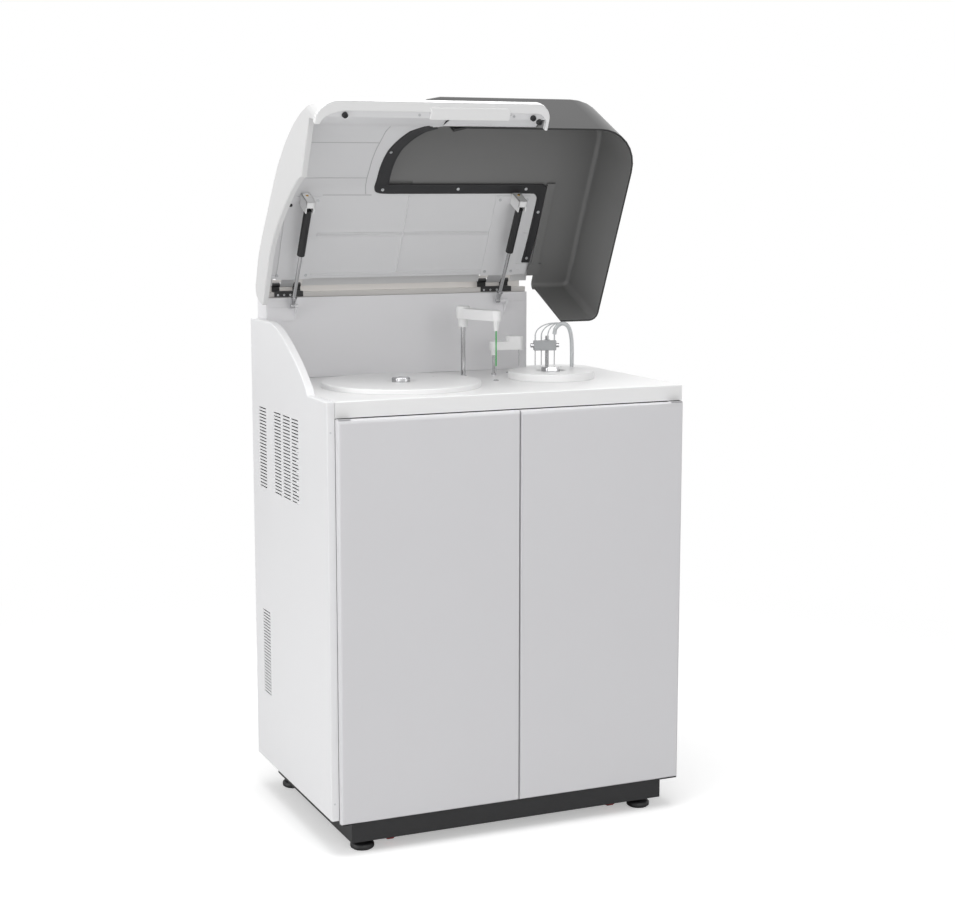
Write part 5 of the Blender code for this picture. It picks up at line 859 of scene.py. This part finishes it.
def smooth_line(points, steps=4):
    """A soft curve through points in plan."""
    line = []
    for step in range(len(points) - 1):
        a = Vector(points[max(step - 1, 0)])
        b, c = Vector(points[step]), Vector(points[step + 1])
        d = Vector(points[min(step + 2, len(points) - 1)])
        for part in range(steps):
            t = part / steps
            line.append(((2 * b) + (c - a) * t + (2 * a - 5 * b + 4 * c - d) * t * t
                         + (3 * b - a - 3 * c + d) * t * t * t) / 2)
    return line + [Vector(points[-1])]


def gasket_base(x, y):
    """The height the gasket lies at: on the liner, or level beside it over the hood's opening."""
    if x < OPENING_CORNER_X or y < OPENING_FRONT_Y:
        return liner_height(y)
    return liner_height(max(y, OPENING_EDGE_Y))


def beside_opening(reach, steps=9):
    """Points beside the opening's curved edge, from the lid's front to its row."""
    a, b, c, d = [Vector(point) for point in OPENING_CURVE]
    line = []
    for step in range(steps + 1):
        t = OPENING_SHARE[0] - OPENING_SHARE[1] * step / steps
        point = bezier((a, b, c, d), t)
        along = (b - a) * (1 - t) ** 2 + (c - b) * 2 * t * (1 - t) + (d - c) * t * t
        side = Vector((-along.y, along.x)).normalized()
        line.append(tuple(point + side * reach))
    return line


def make_gasket():
    """Loft the gasket's profile between its two edge lines."""
    edges = [beside_opening(reach) + list(row)
             for reach, row in zip(GASKET_REACH, (GASKET_OUTER, GASKET_INNER))]
    rings = []
    for outer, inner in zip(smooth_line(edges[0]), smooth_line(edges[1])):
        ring = []
        for share, drop in GASKET_PROFILE:
            x, y = outer.lerp(inner, share)
            ring.append(on_lid((x, y, gasket_base(x, y) - drop * MM)))
        rings.append(ring)
    return stand_in(loft(rings), "hood_gasket", "seal_black")


print("gasket", len(make_gasket().data.polygons), "faces")

# %% [markdown]
# ## Screws, painted hole shade and bumpers
# A screw is always the same head at many places, which is the classic job for Geometry Nodes: the
# tree makes one head, copies it to every point, turns each copy to the direction stored on its
# point, and realizes the copies into one mesh. Buffers, and the flat dark discs of painted shade in
# drilled holes, are the same shape with other sizes.

# %% Node tree for heads
HEAD_SIDES = 20
HEAD_TOP = 0.86
HEAD_SOCKET = 0.52


def start_tree(name, takes, gives):
    """Start a node group with its sockets, and return it with its two ends."""
    tree = bpy.data.node_groups.new(name, "GeometryNodeTree")
    for socket, kind, value in takes:
        made = tree.interface.new_socket(socket, in_out="INPUT", socket_type="NodeSocket" + kind)
        if value is not None:
            made.default_value = value
    tree.interface.new_socket(gives, in_out="OUTPUT", socket_type="NodeSocketGeometry")
    return tree, node_of(tree, "NodeGroupInput", (-1200, 0)), node_of(tree, "NodeGroupOutput", (600, 0))


def heads_tree():
    """Geometry Nodes: one recessed round head on every point, turned to the point's direction."""
    tree, given, made = start_tree("heads_on_points", [
        ("Points", "Geometry", None), ("Radius", "Float", 3 * MM), ("Height", "Float", 1.5 * MM),
        ("Recess", "Float", -0.8 * MM), ("Finish", "Material", None)], "Heads")
    disc = node_of(tree, "GeometryNodeMeshCylinder", (-1000, -200), {"Vertices": HEAD_SIDES})
    shrink = node_of(tree, "GeometryNodeScaleElements", (-800, -200), {"Scale": HEAD_TOP})
    inset = node_of(tree, "GeometryNodeExtrudeMesh", (-600, -200), {"Offset Scale": 0})
    narrow = node_of(tree, "GeometryNodeScaleElements", (-400, -200), {"Scale": HEAD_SOCKET})
    sink = node_of(tree, "GeometryNodeExtrudeMesh", (-200, -200))
    facing = node_of(tree, "GeometryNodeInputNamedAttribute", (-600, 200), {"Name": "facing"},
                     data_type="FLOAT_VECTOR")
    turn = node_of(tree, "FunctionNodeAlignRotationToVector", (-400, 200), axis="Z")
    copies = node_of(tree, "GeometryNodeInstanceOnPoints")
    real = node_of(tree, "GeometryNodeRealizeInstances", (200, 0))
    paint = node_of(tree, "GeometryNodeSetMaterial", (400, 0))
    wire(tree, (given, "Radius", disc, "Radius"), (given, "Height", disc, "Depth"),
         (disc, "Mesh", shrink, "Geometry"), (disc, "Top", shrink, "Selection"),
         (shrink, "Geometry", inset, "Mesh"), (disc, "Top", inset, "Selection"),
         (inset, "Mesh", narrow, "Geometry"), (inset, "Top", narrow, "Selection"),
         (narrow, "Geometry", sink, "Mesh"), (inset, "Top", sink, "Selection"),
         (given, "Recess", sink, "Offset Scale"), (facing, "Attribute", turn, "Vector"),
         (given, "Points", copies, "Points"), (sink, "Mesh", copies, "Instance"),
         (turn, "Rotation", copies, "Rotation"), (copies, "Instances", real, "Geometry"),
         (real, "Geometry", paint, "Geometry"), (given, "Finish", paint, "Material"),
         (paint, "Geometry", made, "Heads"))
    return tree


HEADS = heads_tree()
print("tree", HEADS.name, len(HEADS.nodes), "nodes")

# %% [markdown]
# The heads sit where the photo shows them: plated screws hold the strut plates, the gasket and the
# trim strip, smaller ones the wall, the hinges and the front post. Black buffers stop the lid on
# the deck, and flat dark discs on the wall paint the shade in its drilled holes.

# %% Put heads where the photo shows them
def swept(name, mesh, tree, material, body, smooth, **sizes):
    """Run a node tree on a mesh of points or edges and finish what it makes; sizes are in mm."""
    piece = put(name, mesh)
    modifier = piece.modifiers.new("nodes", "NODES")
    modifier.node_group = tree
    for item in tree.interface.items_tree:
        if item.name in sizes:
            modifier[item.identifier] = sizes[item.name] * MM
        elif item.name == "Finish":
            modifier[item.identifier] = FINISH[material]
    applied(piece)
    return settle(piece, material, body, smooth)


def heads(name, places, material, node, radius, height, recess=-0.8):
    """Make equal heads that ride with a solid; places are (point, direction) pairs, sizes are in mm."""
    mesh = bpy.data.meshes.new(name)
    mesh.from_pydata([tuple(point) for point, _ in places], [], [])
    facing = mesh.attributes.new("facing", "FLOAT_VECTOR", "POINT")
    for step, (_, direction) in enumerate(places):
        facing.data[step].vector = direction
    return swept(name, mesh, HEADS, material, body_of(node), smooth=30,
                 Radius=radius, Height=height, Recess=recess)


FRONT = Vector((0, -1, 0))
LINER_BEND_Y = -0.262
LID_DOWN = LID_OPEN.to_3x3() @ Vector((0, 0, -1))
LINER_SLOPE = LID_OPEN.to_3x3() @ Vector((0, 0.44, -0.90))


def on_liner(points, proud):
    """Places on the liner's lower face, looking where the face looks."""
    return [(on_lid((x, y, liner_height(y) - proud * MM)), LINER_SLOPE if y < LINER_BEND_Y else LID_DOWN)
            for x, y in points]


def under_lid(points, z):
    """Places at a height on the closed lid, looking down from it."""
    return [(on_lid((x, y, z)), LID_DOWN) for x, y in points]


def in_front(points, y):
    """Places on an upright face at a depth, looking to the front."""
    return [(Vector((x, y, z)), FRONT) for x, z in points]


PLATE_SCREWS = [(-0.3642, -0.2232), (-0.2971, -0.2240), (-0.3650, -0.0430), (-0.3000, -0.0430),
                (0.1266, -0.2235), (0.1925, -0.2235), (0.1251, -0.0430), (0.1903, -0.0430)]
GASKET_SCREWS = [(-0.1745, -0.3631), (-0.1560, -0.2500), (0.0194, -0.2515), (0.1828, -0.2515),
                 (0.2258, -0.1934), (0.2228, -0.0761)]
STRIP_SCREWS = [(-0.1822, -0.5040), (0.0243, -0.5040)]
STRIP_BUFFERS = [(-0.3393, -0.5020), (0.0672, -0.5016), (0.0830, -0.4930)]
WALL_HOLE_SHADES = [(-0.3528, 1.0742), (-0.3746, 1.0748), (0.2300, 1.0755)]
WALL_SCREWS = [(-0.3365, 1.0851), (-0.3367, 1.0716), (0.2140, 1.0748)]
LEAF_SCREWS = [(x, 1.1165) for x in (-0.3530, -0.3390, -0.3250, 0.1380, 0.1540, 0.1700)]
POST_SCREWS = [(-0.3925, 0.872), (-0.3925, 0.112)]
LIP_DOWN = LIP_LOW + 3 * MM
BUFFER_DOWN = LIP_DOWN - 2 * MM
WALL_Y = 0.2002
LEAF_Y = 0.2072
for spots in (
        ("plate_screws", on_liner(PLATE_SCREWS, 2.2), "galvanised", "lid_shell", 3.6, 1.8),
        ("corner_screws", on_liner([(-0.3560, -0.2130)], 2.0), "motor_black", "lid_shell", 4.2, 1.6),
        ("gasket_screws", on_liner(GASKET_SCREWS, 2.4), "galvanised", "lid_shell", 3.8, 1.8),
        ("strip_screws", under_lid(STRIP_SCREWS, LIP_DOWN), "galvanised", "lid_shell", 3.2, 1.6),
        ("strip_buffers", under_lid(STRIP_BUFFERS, BUFFER_DOWN), "seal_black", "lid_shell", 6.5, 6, -1.5),
        # Dark flat discs stand for the wall's holes: painted shade.
        ("wall_holes", in_front(WALL_HOLE_SHADES, WALL_Y), "motor_black", "well_back_wall", 2.2, 0.6, 0.05),
        ("wall_screws", in_front(WALL_SCREWS, WALL_Y), "galvanised", "well_back_wall", 2.6, 1.2),
        ("leaf_screws", in_front(LEAF_SCREWS, LEAF_Y), "galvanised", "hinge_leaf_left", 2.4, 1.0),
        ("post_screws", in_front(POST_SCREWS, panel_low.y), "galvanised", "side_panel_left", 2.0, 0.8)):
    made = heads(*spots)
    print(made.name, len(spots[1]))

# %% [markdown]
# ## Tubes, seams and ribs
# A thin tube and a raised line in a sheet are both a round section that follows a path. The path is
# a row of edges, and a second node tree turns it into a curve and gives it its section.

# %% Node tree for beads
BEAD_SIDES = 10


def beads_tree():
    """Geometry Nodes: a round bead along every line of edges, closed at its ends."""
    tree, given, made = start_tree("bead_on_curve", [
        ("Lines", "Geometry", None), ("Radius", "Float", 1 * MM), ("Finish", "Material", None)], "Bead")
    ring = node_of(tree, "GeometryNodeCurvePrimitiveCircle", (-400, -200), {"Resolution": BEAD_SIDES})
    line = node_of(tree, "GeometryNodeMeshToCurve", (-400, 0))
    sweep = node_of(tree, "GeometryNodeCurveToMesh", (-200, 0), {"Fill Caps": True})
    real = node_of(tree, "GeometryNodeRealizeInstances")
    paint = node_of(tree, "GeometryNodeSetMaterial", (200, 0))
    wire(tree, (given, "Radius", ring, "Radius"), (given, "Lines", line, "Mesh"),
         (line, "Curve", sweep, "Curve"), (ring, "Curve", sweep, "Profile Curve"),
         (sweep, "Mesh", real, "Geometry"), (real, "Geometry", paint, "Geometry"),
         (given, "Finish", paint, "Material"), (paint, "Geometry", made, "Bead"))
    return tree


BEADS = beads_tree()


def beads(name, paths, material, body, radius):
    """Make one mesh of equal beads along paths of points; the radius is in mm."""
    mesh = bpy.data.meshes.new(name)
    points, edges = [], []
    for path in paths:
        first = len(points)
        points += [tuple(point) for point in path]
        edges += [(first + step, first + step + 1) for step in range(len(path) - 1)]
    mesh.from_pydata(points, edges, [])
    return swept(name, mesh, BEADS, material, body, smooth=60, Radius=radius)


print("tree", BEADS.name, len(BEADS.nodes), "nodes")

# %% [markdown]
# Four thin clear tubes carry the water of the wash probes. They rise from the probes' tops, arch
# over and enter the hose. The probes lift and the hose is fixed; the tubes are made once, where the
# probes stand now, and ride on no body.

# %% Tubes of the wash probes
PROBE_TOPS = ((0.2020, 0.0680), (0.2166, 0.0665), (0.2307, 0.0624), (0.2439, 0.0560))
TUBE_START_Z = 1.0225
TUBE_SUNK = 3 * MM
TUBE_RISE = 26 * MM
RISE_STEP = 5 * MM
TUBE_END = Vector((0.2560, 0.0430, 1.0470))
END_PULL = Vector((-14 * MM, 9 * MM, 6 * MM))


def tube_path(x, y, steps=12):
    """Arch a thin tube from a probe's top over into the hose."""
    rise = TUBE_RISE - RISE_STEP * PROBE_TOPS.index((x, y))
    start = Vector((x, y, TUBE_START_Z - TUBE_SUNK))
    points = (start, start + Vector((0, 0, rise)), TUBE_END + END_PULL, TUBE_END)
    return [bezier(points, step / steps) for step in range(steps + 1)]


tubes = beads("wash_tubes", [tube_path(x, y) for x, y in PROBE_TOPS], "hose_grey", None, 1.3)
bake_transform(tubes)
print("wash tubes", len(tubes.data.polygons), "faces")

# %% [markdown]
# The liner's sheet has thin raised seams, and three wide ribs of which one is double. Each line is
# laid on the liner's lower face and follows its slope.

# %% Seams and ribs of the liner
def liner_path(points, steps=6):
    """Lay a line of plan points on the liner, following its slope."""
    path = []
    for (ax, ay), (bx, by) in zip(points, points[1:]):
        for step in range(steps):
            share = step / steps
            x, y = ax + (bx - ax) * share, ay + (by - ay) * share
            path.append(on_lid((x, y, liner_height(y))))
    x, y = points[-1]
    return path + [on_lid((x, y, liner_height(y)))]


SEAMS = [
    [(-0.3870, -0.3913), (-0.2096, -0.3916)], [(-0.3870, -0.2839), (-0.2020, -0.2842)],
    [(-0.2130, -0.4500), (-0.2111, -0.4339), (-0.2096, -0.3916), (-0.2077, -0.3384), (-0.2009, -0.2836),
     (-0.1916, -0.2383)],
    [(-0.2880, -0.2362), (-0.1780, -0.2359)],
]
RIBS = [
    [(-0.2870, -0.0425), (0.1140, -0.0425)], [(-0.2870, -0.1372), (0.1140, -0.1372)],
    [(-0.0902, -0.2330), (-0.0905, -0.1356), (-0.0901, -0.0404)],
]
DOUBLE = 6.5 * MM
RIBS.append([(x, y - DOUBLE) for x, y in RIBS[1]])
beads("liner_seams", [liner_path(line) for line in SEAMS], "seam_grey", LID_BODY, 0.9)
beads("liner_ribs", [liner_path(line) for line in RIBS], "liner_grey", LID_BODY, 2.0)
print("seams", len(SEAMS), "ribs", len(RIBS))

# %% [markdown]
# The upper pivot of each gas strut sits in a small white clevis with a brass nut. The clevis is a
# box with one open side, so it is four thin plates in one mesh. Beside the right-hand end of the
# gasket the hood has a flat flange that covers the edge of the liner, and a small plate closes the
# liner's lower right corner.

# %% Clevises and hood flange
def plates(name, boxes, material, width):
    """Make one piece of several rounded boxes on the lid, from their lowest and highest corners."""
    work = bmesh.new()
    for low, high in boxes:
        add_box(work, low, high)
    round_sharp(work, width, 2, 60)
    for vert in work.verts:
        vert.co = on_lid(vert.co)
    return as_piece(work, name, material, LID_BODY)


CLEVIS_X = {"left": -0.328, "right": 0.162}
CLEVIS_IN = 7.2 * MM
CLEVIS_OUT = 9.8 * MM
CLEVIS_Y = (-0.2420, -0.2150)
CLEVIS_Z = (-0.0860, -0.0425)
CLEVIS_WALL = 2.5 * MM
CLEVIS_LEDGE = 15 * MM
NUT_Z = -0.0560
for side, x in CLEVIS_X.items():
    low_y, high_y = CLEVIS_Y
    low_z, high_z = CLEVIS_Z
    plates("clevis_" + side, [
        ((x - CLEVIS_OUT, low_y, low_z), (x - CLEVIS_IN, high_y, high_z)),
        ((x + CLEVIS_IN, low_y, low_z), (x + CLEVIS_OUT, high_y, high_z)),
        ((x - CLEVIS_OUT, low_y, low_z), (x + CLEVIS_OUT, low_y + CLEVIS_WALL, high_z)),
        ((x - CLEVIS_OUT, low_y, low_z), (x + CLEVIS_OUT, low_y + CLEVIS_LEDGE, low_z + CLEVIS_WALL))],
           "mould_white", 0.6 * MM)
heads("clevis_nuts", [(on_lid((x, CLEVIS_Y[0], NUT_Z)), LID_OPEN.to_3x3() @ FRONT)
                      for x in CLEVIS_X.values()], "brass", "lid_shell", 3.4, 3.0)
# The flange takes the hood's lighter copy, with painted light.
plates("hood_flange", [
    ((0.2340, -0.2640, -0.0450), (0.2530, -0.0640, -0.0425)),
    ((0.2290, -0.0640, -0.0450), (0.2600, -0.0340, -0.0425))], "smoked_plastic", 0.4 * MM)
plates("liner_corner", [((0.1950, -0.0620, -0.0375), (0.2285, -0.0340, -0.0355))], "liner_grey", 0.4 * MM)
print("clevises", len(CLEVIS_X))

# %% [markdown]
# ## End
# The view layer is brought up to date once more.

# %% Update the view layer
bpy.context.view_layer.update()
